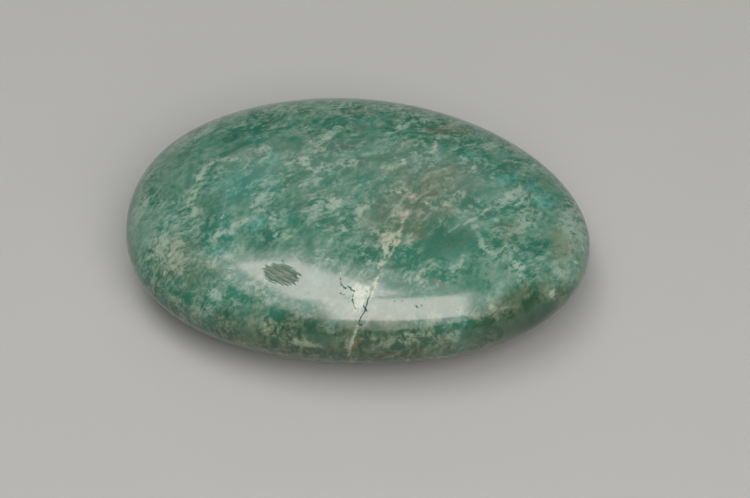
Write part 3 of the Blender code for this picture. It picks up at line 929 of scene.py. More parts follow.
@dataclass
class PalmStone:
    """The whole stone as one fine closed mesh, with its worn places cut into it.

    The edge lengths are the longest that the mesh has in each place. inside_solid keeps the
    surface just within the CAD solid, and undulation is how far hand polishing left it uneven.
    """

    form: PebbleForm = field(default_factory=PebbleForm)
    vein: HealedFracture = field(default_factory=HealedFracture)
    hollow: ScuffedHollow = field(default_factory=ScuffedHollow)
    cracks: HairCracks = field(default_factory=HairCracks)
    facets_per_quarter: int = 64
    halvings: int = 5
    halve_above: float = 1.35
    inside_solid: float = 0.02
    undulation: float = 0.030
    undulation_size: float = 9.0
    patch_bend: float = 0.9
    patch_bend_size: float = 3.0
    patch_bend_seed: int = 1187
    underneath_level: float = 4.0
    edge_underneath: float = 0.85
    edge_in_view: float = 0.46
    edge_at_marks: float = 0.22
    edge_at_wear: float = 0.065
    thin_mark: float = 0.36
    vein_reach: float = 0.9
    wear_reach: float = 0.25
    # The next four set the painted rim sheen: paler, calmer colour towards the sides and back, standing
    # in for haze reflected at grazing angles, with none at the front
    sheen_from: float = 0.65
    sheen_run: float = 0.35
    sheen_free_front: float = -16.0
    sheen_free_front_run: float = 8.0

    def build(self) -> bpy.types.Object:
        """Model the stone and give it its surface measures.

        Returns:
            The stone's object, with no material yet.
        """
        mesh = bmesh.new()
        self._sphere_of_squares(mesh)
        for _ in range(self.halvings):
            self._halve_long_edges(mesh)
        data = bpy.data.meshes.new(PIECE)
        mesh.to_mesh(data)
        mesh.free()
        points = self._shape(data)
        self._measure(data, points)
        data.shade_smooth()
        stone = bpy.data.objects.new(PIECE, data)
        bpy.context.scene.collection.objects.link(stone)
        return stone

    def _sphere_of_squares(self, mesh: bmesh.types.BMesh) -> None:
        """Make a unit sphere from a finely divided cube, which has no pinched poles.

        Args:
            mesh: The empty mesh that takes the sphere.
        """
        bmesh.ops.create_cube(mesh, size=2.0)
        cuts = self.facets_per_quarter - 1
        bmesh.ops.subdivide_edges(mesh, edges=mesh.edges[:], cuts=cuts, use_grid_fill=True)
        for vert in mesh.verts:
            spread = Vector([math.tan(value * math.pi / 4.0) for value in vert.co])
            vert.co = spread.normalized()
        bmesh.ops.triangulate(mesh, faces=mesh.faces[:])

    def _wanted_edge(self, points: np.ndarray) -> np.ndarray:
        """Give how long the mesh's edges may be at each point.

        Args:
            points: Points in millimetres, one a row.

        Returns:
            One length a point, in millimetres.
        """
        in_view = points[:, 2] > self.underneath_level
        wanted = np.where(in_view, self.edge_in_view, self.edge_underneath)
        at_marks = self.vein.zone(points, self.vein_reach)
        for patch in PATCHES:
            if patch.across < self.thin_mark:
                at_marks |= patch.cover(points) > 0.0
        wanted[at_marks] = self.edge_at_marks
        at_wear = self.vein.fissure_zone(points, self.wear_reach) | self.cracks.zone(points)
        at_wear |= self.hollow.zone(points)
        wanted[at_wear] = self.edge_at_wear
        return wanted

    def _halve_long_edges(self, mesh: bmesh.types.BMesh) -> None:
        """Halve every edge that is longer than the mesh may have there.

        Args:
            mesh: The sphere that becomes the stone.
        """
        corners = self.form.place(self._directions([vert.co[:] for vert in mesh.verts]))
        ends = np.array([[vert.index for vert in edge.verts] for edge in mesh.edges])
        first, second = corners[ends[:, 0]], corners[ends[:, 1]]
        length = np.linalg.norm(first - second, axis=1)
        most = self.halve_above * self._wanted_edge((first + second) / 2.0)
        mesh.edges.ensure_lookup_table()
        chosen = [mesh.edges[index] for index in np.flatnonzero(length > most)]
        bmesh.ops.subdivide_edges(mesh, edges=chosen, cuts=1)
        bmesh.ops.triangulate(mesh, faces=[face for face in mesh.faces if len(face.verts) > 3])
        self._take_out_folds(mesh)

    @staticmethod
    def _take_out_folds(mesh: bmesh.types.BMesh) -> None:
        """Take out corners with two edges alone, where two triangles lie back to back.

        Args:
            mesh: The mesh after a round of halving.
        """
        folded = [vert for vert in mesh.verts if len(vert.link_edges) < 3]
        while folded:
            bmesh.ops.delete(mesh, geom=folded, context="VERTS")
            folded = [vert for vert in mesh.verts if len(vert.link_edges) < 3]
        mesh.verts.index_update()
        mesh.edges.index_update()

    @staticmethod
    def _directions(corners: object) -> np.ndarray:
        """Bring points back to the unit sphere, one a row."""
        corners = np.asarray(corners, float).reshape(-1, 3)
        return corners / np.linalg.norm(corners, axis=1)[:, None]

    def _shape(self, data: bpy.types.Mesh) -> np.ndarray:
        """Carry the unit sphere to the stone and cut its worn places.

        Args:
            data: The sphere's mesh, which becomes the stone's.

        Returns:
            The corners on the unworn pebble, in millimetres, one a row.
        """
        flat = np.empty(len(data.vertices) * 3, np.float32)
        data.vertices.foreach_get("co", flat)
        points = self.form.place(self._directions(flat))
        data.vertices.foreach_set("co", points.astype(np.float32).ravel())
        data.update()
        data.vertex_normals.foreach_get("vector", flat)
        normals = self._directions(flat)
        swell = np.array([noise.noise(Vector(point) / self.undulation_size) for point in points])
        sunk = self.inside_solid + self.undulation * (0.5 + 0.5 * swell)
        sunk += self.vein.depth(points) + self.hollow.depth(points)
        sunk += self.cracks.depth_there * self.cracks.openness(points)
        shaped = points - normals * sunk[:, None]
        shaped[:, 2] = np.maximum(shaped[:, 2], 0.0)
        data.vertices.foreach_set("co", (shaped * MM).astype(np.float32).ravel())
        data.update()
        return points

    def _measure(self, data: bpy.types.Mesh, points: np.ndarray) -> None:
        """Store on every corner of the mesh what the finish reads.

        Args:
            data: The stone's mesh.
            points: Its corners on the unworn pebble, in millimetres, one a row.
        """
        measures = {
            "vein_across": self.vein.across(points),
            "vein_band": self.vein.band(points),
            "fissure": self.vein.fissure(points),
            "hollow": self.hollow.cover(points),
            "groove": self.hollow.grooves(points),
            "crack": self.cracks.openness(points),
            # Painted rim sheen, towards the sides and back
            "painted_rim_sheen": self._painted_rim_sheen(points),
        }
        # Without its seed the bend would differ from run to run
        noise.seed_set(self.patch_bend_seed)
        bent = points + self.patch_bend * np.array([
            noise.noise_vector(Vector(point) / self.patch_bend_size)[:] for point in points
        ])
        for tint in Tint:
            patches = [patch.cover(bent) for patch in PATCHES if patch.tint is tint]
            if patches:
                measures[tint.measure] = np.max(patches, axis=0)
        for name, values in measures.items():
            attribute = data.attributes.new(name, "FLOAT", "POINT")
            attribute.data.foreach_set("value", values.astype(np.float32))

    def _painted_rim_sheen(self, points: np.ndarray) -> np.ndarray:
        """Give how much painted rim sheen lies at each point: more towards its sides and its back.

        Args:
            points: Points in millimetres, one a row.

        Returns:
            One value a point, from 0 to 1.
        """
        reach = np.hypot(points[:, 0] / self.form.half_length, points[:, 1] / self.form.half_width)
        away_from_front = (points[:, 1] - self.sheen_free_front) / self.sheen_free_front_run
        outer = np.clip((reach - self.sheen_from) / self.sheen_run, 0.0, 1.0)
        return outer * np.clip(away_from_front, 0.0, 1.0)


@dataclass(frozen=True)
class Ramp:
    """An eased change of level: where it starts and ends, and the levels before and after."""

    low: float
    high: float
    start: float = 0.0
    end: float = 1.0


class Graph:
    """Adds nodes to one node tree and joins them."""

    ROWS = 9
    COLUMN_STEP = 220.0
    ROW_STEP = -190.0

    def __init__(self, tree: bpy.types.NodeTree) -> None:
        """Keep the tree that nodes are added to."""
        self.tree = tree
        self._made = 0

    def add(self, kind: str, **settings: object) -> bpy.types.Node:
        """Add a node.

        Args:
            kind: The node's type name.
            settings: Properties set on the node.

        Returns:
            The new node.
        """
        node = self.tree.nodes.new(kind)
        for name, value in settings.items():
            setattr(node, name, value)
        column, row = divmod(self._made, self.ROWS)
        node.location = (self.COLUMN_STEP * column, self.ROW_STEP * row)
        self._made += 1
        return node

    def feed(self, socket: bpy.types.NodeSocket, value: object) -> None:
        """Join a socket to an input, or set the input's own value.

        Args:
            socket: The input.
            value: A socket to join, or the value that is set.
        """
        if isinstance(value, bpy.types.NodeSocket):
            self.tree.links.new(value, socket)
        else:
            socket.default_value = value

    def math(self, operation: str, *values: object) -> bpy.types.NodeSocket:
        """Work out one sum.

        Args:
            operation: The Math node's operation.
            values: Up to three numbers or sockets, as the operation reads them.

        Returns:
            The result's socket.
        """
        node = self.add("ShaderNodeMath", operation=operation)
        for socket, value in zip(node.inputs, values):
            self.feed(socket, value)
        return node.outputs[0]

    def total(self, *parts: tuple[object, float], base: float = 0.0) -> bpy.types.NodeSocket:
        """Add up values, each with its own weight.

        Args:
            parts: Pairs of a socket and its weight.
            base: The number that they are added to.

        Returns:
            The sum's socket.
        """
        result: object = base
        for value, weight in parts:
            result = self.math("MULTIPLY_ADD", value, weight, result)
        return result

    def vector(self, operation: str, *values: object) -> bpy.types.NodeSocket:
        """Work out one sum of vectors.

        Args:
            operation: The Vector Math node's operation.
            values: One or two vectors or sockets.

        Returns:
            The result's socket.
        """
        node = self.add("ShaderNodeVectorMath", operation=operation)
        for socket, value in zip(node.inputs, values):
            self.feed(socket, value)
        return node.outputs[0]

    def scaled(self, vector: object, factor: float) -> bpy.types.NodeSocket:
        """Make a vector longer or shorter.

        Args:
            vector: The vector's socket.
            factor: What its length is multiplied by.

        Returns:
            The result's socket.
        """
        node = self.add("ShaderNodeVectorMath", operation="SCALE")
        self.feed(node.inputs[0], vector)
        node.inputs["Scale"].default_value = factor
        return node.outputs[0]

    def mix(self, factor: object, first: object, second: object) -> bpy.types.NodeSocket:
        """Mix two colours.

        Args:
            factor: How much of the second colour, from 0 to 1.
            first: A colour or a socket.
            second: A colour or a socket.

        Returns:
            The mixed colour's socket.
        """
        node = self.add("ShaderNodeMix", data_type="RGBA", clamp_factor=True)
        self.feed(node.inputs[0], factor)
        self.feed(node.inputs[6], first)
        self.feed(node.inputs[7], second)
        return node.outputs[2]

    def ease(self, value: object, ramp: Ramp, start: object = None) -> bpy.types.NodeSocket:
        """Ease a value from one level to another between two limits.

        Args:
            value: The value that is read.
            ramp: The limits and the levels.
            start: A socket that gives the first level, in place of the ramp's own.

        Returns:
            The level's socket.
        """
        node = self.add("ShaderNodeMapRange", interpolation_type="SMOOTHSTEP", clamp=True)
        self.feed(node.inputs["Value"], value)
        self.feed(node.inputs["From Min"], ramp.low)
        self.feed(node.inputs["From Max"], ramp.high)
        self.feed(node.inputs["To Min"], ramp.start if start is None else start)
        self.feed(node.inputs["To Max"], ramp.end)
        return node.outputs["Result"]

    def noise(
        self,
        vector: object,
        size: float,
        detail: float = 2.0,
        roughness: float = 0.5,
        output: str = "Fac",
    ) -> bpy.types.NodeSocket:
        """Add a noise.

        Args:
            vector: The coordinates that it reads.
            size: Its grain size, in the coordinates' unit.
            detail: How many finer layers it has.
            roughness: How strong the finer layers are.
            output: Which output is wanted, Fac or Color.

        Returns:
            The output's socket.
        """
        node = self.add("ShaderNodeTexNoise")
        self.feed(node.inputs["Vector"], vector)
        self.feed(node.inputs["Scale"], 1.0 / size)
        self.feed(node.inputs["Detail"], detail)
        self.feed(node.inputs["Roughness"], roughness)
        return node.outputs[output]

    def attribute(self, name: str) -> bpy.types.NodeSocket:
        """Read one of the stone's surface measures."""
        return self.add("ShaderNodeAttribute", attribute_name=name).outputs["Fac"]


@dataclass(frozen=True)
class SheetGrain:
    """One grain of the pale sheets: its size along and across them, and a shift of its pattern."""

    length: float
    width: float
    shift: float


@dataclass(frozen=True)
class LamellaNoise:
    """Node group: a grain drawn out along the thin sheets that the two feldspars parted into."""

    name: str = "lamella noise"
    detail: float = 1.5
    middle: float = 0.5

    def group(self) -> bpy.types.NodeTree:
        """Build the group, or give the one already built.

        Returns:
            A group with Vector, Length, Width and Shift in, and Value out.
        """
        if self.name in bpy.data.node_groups:
            return bpy.data.node_groups[self.name]
        tree = bpy.data.node_groups.new(self.name, "ShaderNodeTree")
        tree.interface.new_socket("Vector", in_out="INPUT", socket_type="NodeSocketVector")
        for name in ("Length", "Width", "Shift"):
            tree.interface.new_socket(name, in_out="INPUT", socket_type="NodeSocketFloat")
        tree.interface.new_socket("Value", in_out="OUTPUT", socket_type="NodeSocketFloat")
        graph = Graph(tree)
        given = graph.add("NodeGroupInput").outputs
        size = self._three(graph, given["Length"], given["Width"], given["Length"])
        shift = self._three(graph, given["Shift"], given["Shift"], given["Shift"])
        drawn = graph.vector("DIVIDE", given["Vector"], size)
        moved = graph.vector("ADD", drawn, shift)
        grain = graph.noise(moved, 1.0, detail=self.detail)
        centred = graph.math("SUBTRACT", grain, self.middle)
        result = graph.add("NodeGroupOutput")
        graph.feed(result.inputs["Value"], centred)
        return tree

    @staticmethod
    def _three(graph: Graph, *values: bpy.types.NodeSocket) -> bpy.types.NodeSocket:
        """Join three numbers into one vector.

        Args:
            graph: The group's graph.
            values: The sockets of the three numbers.

        Returns:
            The vector's socket.
        """
        node = graph.add("ShaderNodeCombineXYZ")
        for socket, value in zip(node.inputs, values):
            graph.feed(socket, value)
        return node.outputs[0]

    def place(self, graph: Graph, vector: object, grain: SheetGrain) -> bpy.types.NodeSocket:
        """Place the group in a material.

        Args:
            graph: The material's graph.
            vector: Coordinates in millimetres, with X along the sheets and Y across them.
            grain: The grain that is wanted.

        Returns:
            The grain's value, around 0.
        """
        node = graph.add("ShaderNodeGroup", node_tree=self.group())
        graph.feed(node.inputs["Vector"], vector)
        graph.feed(node.inputs["Length"], grain.length)
        graph.feed(node.inputs["Width"], grain.width)
        graph.feed(node.inputs["Shift"], grain.shift)
        return node.outputs["Value"]


@dataclass(frozen=True)
class BroadField:
    """One broad field: the tint of its body, the tint of its sheets, and its most cover."""

    body: Tint
    sheets: Tint
    most: float


@dataclass(frozen=True)
class AmazoniteFinish:
    """Polished amazonite: green feldspar crossed by thin pale sheets of a second feldspar.

    The grains make an amount of pale sheets, to which the surface measures add or from which
    they take by their weights. A cover is how much of a tint shows, from 0 to 1.
    """

    name: str = "polished_amazonite"
    lamella: LamellaNoise = field(default_factory=LamellaNoise)
    refraction: float = 1.525
    sheet_turn: float = 46.0
    bends: tuple[tuple[float, float], ...] = ((8.0, 3.6), (2.6, 0.5))
    bend_roughness: float = 0.6

    cloud: SheetGrain = SheetGrain(7.0, 4.5, 3.1)
    tone: SheetGrain = SheetGrain(5.0, 3.2, 12.6)
    crowd: SheetGrain = SheetGrain(2.4, 1.6, 9.2)
    flame: SheetGrain = SheetGrain(1.05, 0.72, 1.3)
    fine: SheetGrain = SheetGrain(0.45, 0.36, 7.7)
    seam: SheetGrain = SheetGrain(2.0, 0.50, 4.4)

    fray_weights: tuple[float, float, float] = (1.9, 1.1, 1.7)
    crumble: float = 0.60
    soft_weights: tuple[float, float] = (0.8, 0.5)
    patch_edge: Ramp = Ramp(0.16, 1.25)
    field_edge: Ramp = Ramp(0.05, 0.90)
    stain_cover: float = 0.70

    body_ramp: Ramp = Ramp(-0.30, -0.06)
    straw_ramp: Ramp = Ramp(0.04, 0.24, 0.0, 0.4)
    turquoise_ramp: Ramp = Ramp(0.02, -0.20, 0.0, 0.5)
    fields: tuple[BroadField, ...] = (
        BroadField(Tint.TURQUOISE, Tint.AQUA, 0.85),
        BroadField(Tint.TAN, Tint.STRAW, 0.75),
        # The SHADE field paints shade on the near side, in the body and in the sheets
        BroadField(Tint.SHADE, Tint.SHADED_MOSS, 0.95),
    )
    deep_cover: float = 0.5

    grain_weights: tuple[float, float, float] = (0.72, 1.14, 1.00)
    clear_size: float = 5.0
    clear_ramp: Ramp = Ramp(0.36, 0.64, 0.55, 1.30)
    # Painted light in the colour: the settings read from the TEAL measure calm and slightly darken the
    # grain where the main highlight falls; the rim settings lighten and calm it towards the sides and
    # back, a painted sheen
    highlight_calm_ramp: Ramp = Ramp(0.10, 0.90)
    highlight_calm: float = -0.60
    sheen_calm: float = -0.46
    cloud_weight: float = 0.65
    sheen_weight: float = 0.23
    pale_weight: float = 0.40
    deep_weight: float = -0.26
    highlight_dimming: float = -0.10
    white_weight: float = 0.28
    band_weight: float = 0.32
    band_ramp: Ramp = Ramp(0.16, 1.15)
    pale_ramp: Ramp = Ramp(-0.30, 0.60)
    white_ramp: Ramp = Ramp(0.38, 0.80, 0.0, 0.40)
    seam_ramp: Ramp = Ramp(0.16, 0.34, 0.0, 0.20)
    spots: tuple[tuple[Tint, float], ...] = (
        (Tint.YELLOW, 0.45),
        (Tint.OLIVE, 0.55),
        (Tint.DARK, 0.70),
    )

    stain_grain: float = 0.8
    stain_fray: float = 3.0
    stain_base: float = -0.5
    rust_size: float = 1.9
    rust_ramp: Ramp = Ramp(0.50, 0.62)
    rust_line: Ramp = Ramp(0.16, 0.03, 0.0, 0.35)

    bare_cover: float = 0.75
    groove_cover: float = 0.90
    fissure_ramp: Ramp = Ramp(0.20, 0.95, 0.0, 0.90)
    crack_ramp: Ramp = Ramp(0.20, 0.95, 0.0, 0.72)

    smear_size: float = 2.0
    polish_ramp: Ramp = Ramp(0.30, 0.70, 0.10, 0.15)
    pale_dulling: float = 0.03
    worn_ramp: Ramp = Ramp(0.0, 0.6, 0.0, 0.62)

    skin_size: float = 0.7
    skin_height: float = 0.05
    pit_spacing: float = 0.85
    pit_choice: Ramp = Ramp(0.74, 0.78)
    pit_side: Ramp = Ramp(0.13, 0.05)
    pit_depth: float = 0.35
    relief: float = 0.1

    def material(self) -> bpy.types.Material:
        """Build the material.

        Returns:
            The finished material.
        """
        material = bpy.data.materials.new(self.name)
        material.use_nodes = True
        tree = material.node_tree
        tree.nodes.clear()
        graph = Graph(tree)
        place = graph.scaled(graph.add("ShaderNodeTexCoord").outputs["Object"], 1.0 / MM)
        sheets = self._turn_to_sheets(graph, self._bend(graph, place))
        colour, pale = self._mineral(graph, sheets)
        colour = self._stains(graph, place, colour)
        colour, worn = self._wear(graph, colour)
        shader = graph.add("ShaderNodeBsdfPrincipled")
        shader.inputs["IOR"].default_value = self.refraction
        graph.feed(shader.inputs["Base Color"], colour)
        graph.feed(shader.inputs["Roughness"], self._roughness(graph, place, pale, worn))
        graph.feed(shader.inputs["Normal"], self._relief(graph, place))
        output = graph.add("ShaderNodeOutputMaterial")
        graph.feed(output.inputs["Surface"], shader.outputs[0])
        return material

    def _bend(self, graph: Graph, place: bpy.types.NodeSocket) -> bpy.types.NodeSocket:
        """Bend the coordinates a little, at two sizes, so that no patch has a drawn edge.

        Args:
            graph: The material's graph.
            place: Coordinates in millimetres.

        Returns:
            The bent coordinates.
        """
        bent = place
        for size, strength in self.bends:
            grain = graph.noise(place, size, roughness=self.bend_roughness, output="Color")
            centred = graph.vector("SUBTRACT", grain, (0.5, 0.5, 0.5))
            bent = graph.vector("ADD", bent, graph.scaled(centred, strength))
        return bent

    def _turn_to_sheets(self, graph: Graph, place: bpy.types.NodeSocket) -> bpy.types.NodeSocket:
        """Turn coordinates so that X runs along the upright sheets and Y across them.

        Args:
            graph: The material's graph.
            place: Coordinates in millimetres.

        Returns:
            The turned coordinates.
        """
        turned = graph.add("ShaderNodeMapping", vector_type="TEXTURE")
        graph.feed(turned.inputs["Vector"], place)
        turned.inputs["Rotation"].default_value = (0.0, 0.0, math.radians(self.sheet_turn))
        return turned.outputs[0]

    def _cover(
        self,
        graph: Graph,
        measure: str,
        fray: bpy.types.NodeSocket,
        edge: Ramp,
        most: float = 1.0,
    ) -> bpy.types.NodeSocket:
        """Read how much of something the stone shows, with frayed edges.

        Args:
            graph: The material's graph.
            measure: The surface measure that is read.
            fray: A grain around 1 that the measure is multiplied by before its edge is drawn.
            edge: Where the edge starts and ends.
            most: The cover where the measure is strongest.

        Returns:
            The cover.
        """
        frayed = graph.math("MULTIPLY", graph.attribute(measure), fray)
        return graph.ease(frayed, Ramp(edge.low, edge.high, 0.0, most))

    def _mineral(
        self, graph: Graph, sheets: bpy.types.NodeSocket
    ) -> tuple[bpy.types.NodeSocket, bpy.types.NodeSocket]:
        """Colour the feldspar itself.

        Args:
            graph: The material's graph.
            sheets: Bent coordinates, turned to the sheets.

        Returns:
            The colour, and how pale the sheets make it.
        """
        cloud, tone, crowd, flame, fine, seam = (
            self.lamella.place(graph, sheets, grain)
            for grain in (self.cloud, self.tone, self.crowd, self.flame, self.fine, self.seam)
        )
        uneven = graph.total(*zip((flame, crowd, fine), self.fray_weights))
        fray = graph.total((uneven, 1.0), base=1.0)
        crumbled = graph.total((uneven, self.crumble), base=1.0)
        soft = graph.total(*zip((crowd, tone), self.soft_weights), base=1.0)

        body = graph.mix(graph.ease(cloud, self.body_ramp), Tint.DEEP.rgba, Tint.TEAL.rgba)
        body = graph.mix(graph.ease(tone, self.turquoise_ramp), body, Tint.TURQUOISE.rgba)
        pale = graph.mix(graph.ease(tone, self.straw_ramp), Tint.PALE.rgba, Tint.STRAW.rgba)
        for broad in self.fields:
            cover = self._cover(graph, broad.body.measure, soft, self.field_edge, broad.most)
            body = graph.mix(cover, body, broad.body.rgba)
            pale = graph.mix(cover, pale, broad.sheets.rgba)
        deep = self._cover(graph, Tint.DEEP.measure, fray, self.patch_edge)
        body = graph.mix(graph.math("MULTIPLY", deep, self.deep_cover), body, Tint.DEEP.rgba)

        # Painted rim sheen, and calmer, slightly darker grain where the main highlight falls
        painted_rim_sheen = graph.attribute("painted_rim_sheen")
        smooth = graph.ease(graph.attribute(Tint.TEAL.measure), self.highlight_calm_ramp)
        clear = graph.ease(graph.noise(sheets, self.clear_size), self.clear_ramp)
        calm = graph.total((smooth, self.highlight_calm), (painted_rim_sheen, self.sheen_calm), base=1.0)
        grain = graph.total(*zip((fine, flame, crowd), self.grain_weights))
        grain = graph.math("MULTIPLY", graph.math("MULTIPLY", grain, clear), calm)
        marks = [
            (cloud, self.cloud_weight),
            (painted_rim_sheen, self.sheen_weight),
            (self._cover(graph, Tint.PALE.measure, fray, self.patch_edge), self.pale_weight),
            (deep, self.deep_weight),
            (smooth, self.highlight_dimming),
        ]
        for tint in (Tint.WHITE, Tint.CREAM):
            cover = self._cover(graph, tint.measure, crumbled, self.patch_edge)
            pale = graph.mix(cover, pale, tint.rgba)
            marks.append((cover, self.white_weight))
        band = self._cover(graph, "vein_band", crumbled, self.band_ramp)
        pale = graph.mix(band, pale, Tint.CREAM.rgba)
        marks.append((band, self.band_weight))

        amount = graph.math("ADD", grain, graph.total(*marks))
        paleness = graph.ease(amount, self.pale_ramp)
        colour = graph.mix(paleness, body, pale)
        colour = graph.mix(graph.ease(amount, self.white_ramp), colour, Tint.WHITE.rgba)
        colour = graph.mix(graph.ease(seam, self.seam_ramp), colour, Tint.DARK.rgba)
        for tint, most in self.spots:
            cover = self._cover(graph, tint.measure, fray, self.patch_edge, most)
            colour = graph.mix(cover, colour, tint.rgba)
        return colour, paleness

    def _stains(
        self, graph: Graph, place: bpy.types.NodeSocket, colour: bpy.types.NodeSocket
    ) -> bpy.types.NodeSocket:
        """Lay the vein's rusty middle line and the pink and rusty spots over the mineral.

        Args:
            graph: The material's graph.
            place: Coordinates in millimetres.
            colour: The mineral's colour.

        Returns:
            The colour with the stains.
        """
        grain = graph.noise(place, self.stain_grain, detail=3.0, roughness=0.7)
        fray = graph.total((grain, self.stain_fray), base=self.stain_base)
        side = graph.math("ABSOLUTE", graph.attribute("vein_across"))
        rusty = graph.ease(graph.noise(place, self.rust_size), self.rust_ramp)
        line = graph.math("MULTIPLY", rusty, graph.ease(side, self.rust_line))
        colour = graph.mix(line, colour, Tint.OCHRE.rgba)
        for tint in (Tint.PINK, Tint.RUST, Tint.OCHRE):
            cover = self._cover(graph, tint.measure, fray, self.patch_edge, self.stain_cover)
            colour = graph.mix(cover, colour, tint.rgba)
        return colour

    def _wear(
        self, graph: Graph, colour: bpy.types.NodeSocket
    ) -> tuple[bpy.types.NodeSocket, bpy.types.NodeSocket]:
        """Colour the hollow, the fissure and the cracks.

        Args:
            graph: The material's graph.
            colour: The colour so far.

        Returns:
            The colour, and how far each place has lost its polish.
        """
        hollow = graph.attribute("hollow")
        bare = graph.math("MULTIPLY", hollow, self.bare_cover)
        colour = graph.mix(bare, colour, Tint.BARE.rgba)
        groove = graph.math("MULTIPLY", graph.attribute("groove"), self.groove_cover)
        colour = graph.mix(groove, colour, Tint.GROOVE.rgba)
        fissure = graph.ease(graph.attribute("fissure"), self.fissure_ramp)
        crack = graph.ease(graph.attribute("crack"), self.crack_ramp)
        dark = graph.math("MAXIMUM", fissure, crack)
        colour = graph.mix(dark, colour, Tint.FISSURE.rgba)
        return colour, graph.math("MAXIMUM", hollow, dark)

    def _roughness(
        self,
        graph: Graph,
        place: bpy.types.NodeSocket,
        pale: bpy.types.NodeSocket,
        worn: bpy.types.NodeSocket,
    ) -> bpy.types.NodeSocket:
        """Give the polish, duller in the pale sheets and lost where the stone is worn.

        Args:
            graph: The material's graph.
            place: Coordinates in millimetres.
            pale: How pale the sheets make the stone.
            worn: How far each place has lost its polish.

        Returns:
            The roughness.
        """
        smear = graph.noise(place, self.smear_size, detail=3.0, roughness=0.6)
        polish = graph.ease(smear, self.polish_ramp)
        polish = graph.math("ADD", polish, graph.math("MULTIPLY", pale, self.pale_dulling))
        return graph.ease(worn, self.worn_ramp, start=polish)

    def _relief(self, graph: Graph, place: bpy.types.NodeSocket) -> bpy.types.NodeSocket:
        """Give the fine relief that is too small for the mesh: polish marks and tiny pits.

        Args:
            graph: The material's graph.
            place: Coordinates in millimetres.

        Returns:
            The normal.
        """
        skin = graph.noise(place, self.skin_size)
        cells = graph.add("ShaderNodeTexVoronoi", feature="F1")
        graph.feed(cells.inputs["Vector"], place)
        cells.inputs["Scale"].default_value = 1.0 / self.pit_spacing
        pick = graph.add("ShaderNodeSeparateColor")
        graph.feed(pick.inputs[0], cells.outputs["Color"])
        chosen = graph.ease(pick.outputs[0], self.pit_choice)
        pits = graph.math("MULTIPLY", graph.ease(cells.outputs["Distance"], self.pit_side), chosen)
        height = graph.total((skin, self.skin_height), (pits, -self.pit_depth))
        bump = graph.add("ShaderNodeBump")
        bump.inputs["Strength"].default_value = 1.0
        bump.inputs["Distance"].default_value = self.relief * MM
        graph.feed(bump.inputs["Height"], height)
        return bump.outputs[0]


@dataclass(frozen=True)
class PlainPaper:
    """The smooth pale paper of the floor and backdrop, in metres."""

    name: str = "plain_pale_paper"
    colour: tuple[float, float, float] = (0.250, 0.300, 0.293)
    lighter: float = 1.02
    grain_size: float = 0.02
    dullness: float = 0.9
    sheen: float = 0.1

    def material(self) -> bpy.types.Material:
        """Build the material, with a faint unevenness.

        Returns:
            The finished material.
        """
        material = bpy.data.materials.new(self.name)
        material.use_nodes = True
        graph = Graph(material.node_tree)
        shader = material.node_tree.nodes["Principled BSDF"]
        own = graph.add("ShaderNodeTexCoord").outputs["Object"]
        grain = graph.noise(own, self.grain_size, detail=3.0)
        lighter = tuple(value * self.lighter for value in self.colour)
        colour = graph.mix(grain, (*self.colour, 1.0), (*lighter, 1.0))
        graph.feed(shader.inputs["Base Color"], colour)
        shader.inputs["Roughness"].default_value = self.dullness
        shader.inputs["Specular IOR Level"].default_value = self.sheen
        return material


@dataclass(frozen=True)
class Softbox:
    """One soft rectangular light, placed by its middle and by the direction from the stone.

    Sizes and places are in metres, and turn is in degrees about that direction.
    """

    name: str
    middle: tuple[float, float, float]
    facing: tuple[float, float, float]
    turn: float
    width: float
    length: float
    brightness: float
    colour: tuple[float, float, float] = (1.0, 0.79, 0.775)

    def build(self) -> bpy.types.Object:
        """Hang the light.

        Returns:
            The light's object.
        """
        data = bpy.data.lights.new(self.name, "AREA")
        data.shape = "RECTANGLE"
        data.size = self.width
        data.size_y = self.length
        data.energy = self.brightness * math.pi * self.width * self.length
        data.color = self.colour
        light = bpy.data.objects.new(self.name, data)
        bpy.context.scene.collection.objects.link(light)
        away = Vector(self.facing).normalized()
        right = Vector((0.0, 0.0, 1.0)).cross(away).normalized()
        upward = away.cross(right)
        turned = Matrix((right, upward, away)).transposed().to_quaternion()
        light.rotation_mode = "QUATERNION"
        light.rotation_quaternion = turned @ Quaternion((0.0, 0.0, 1.0), math.radians(self.turn))
        light.location = self.middle
        return light


FRONT = (0.223, -0.631, 0.743)


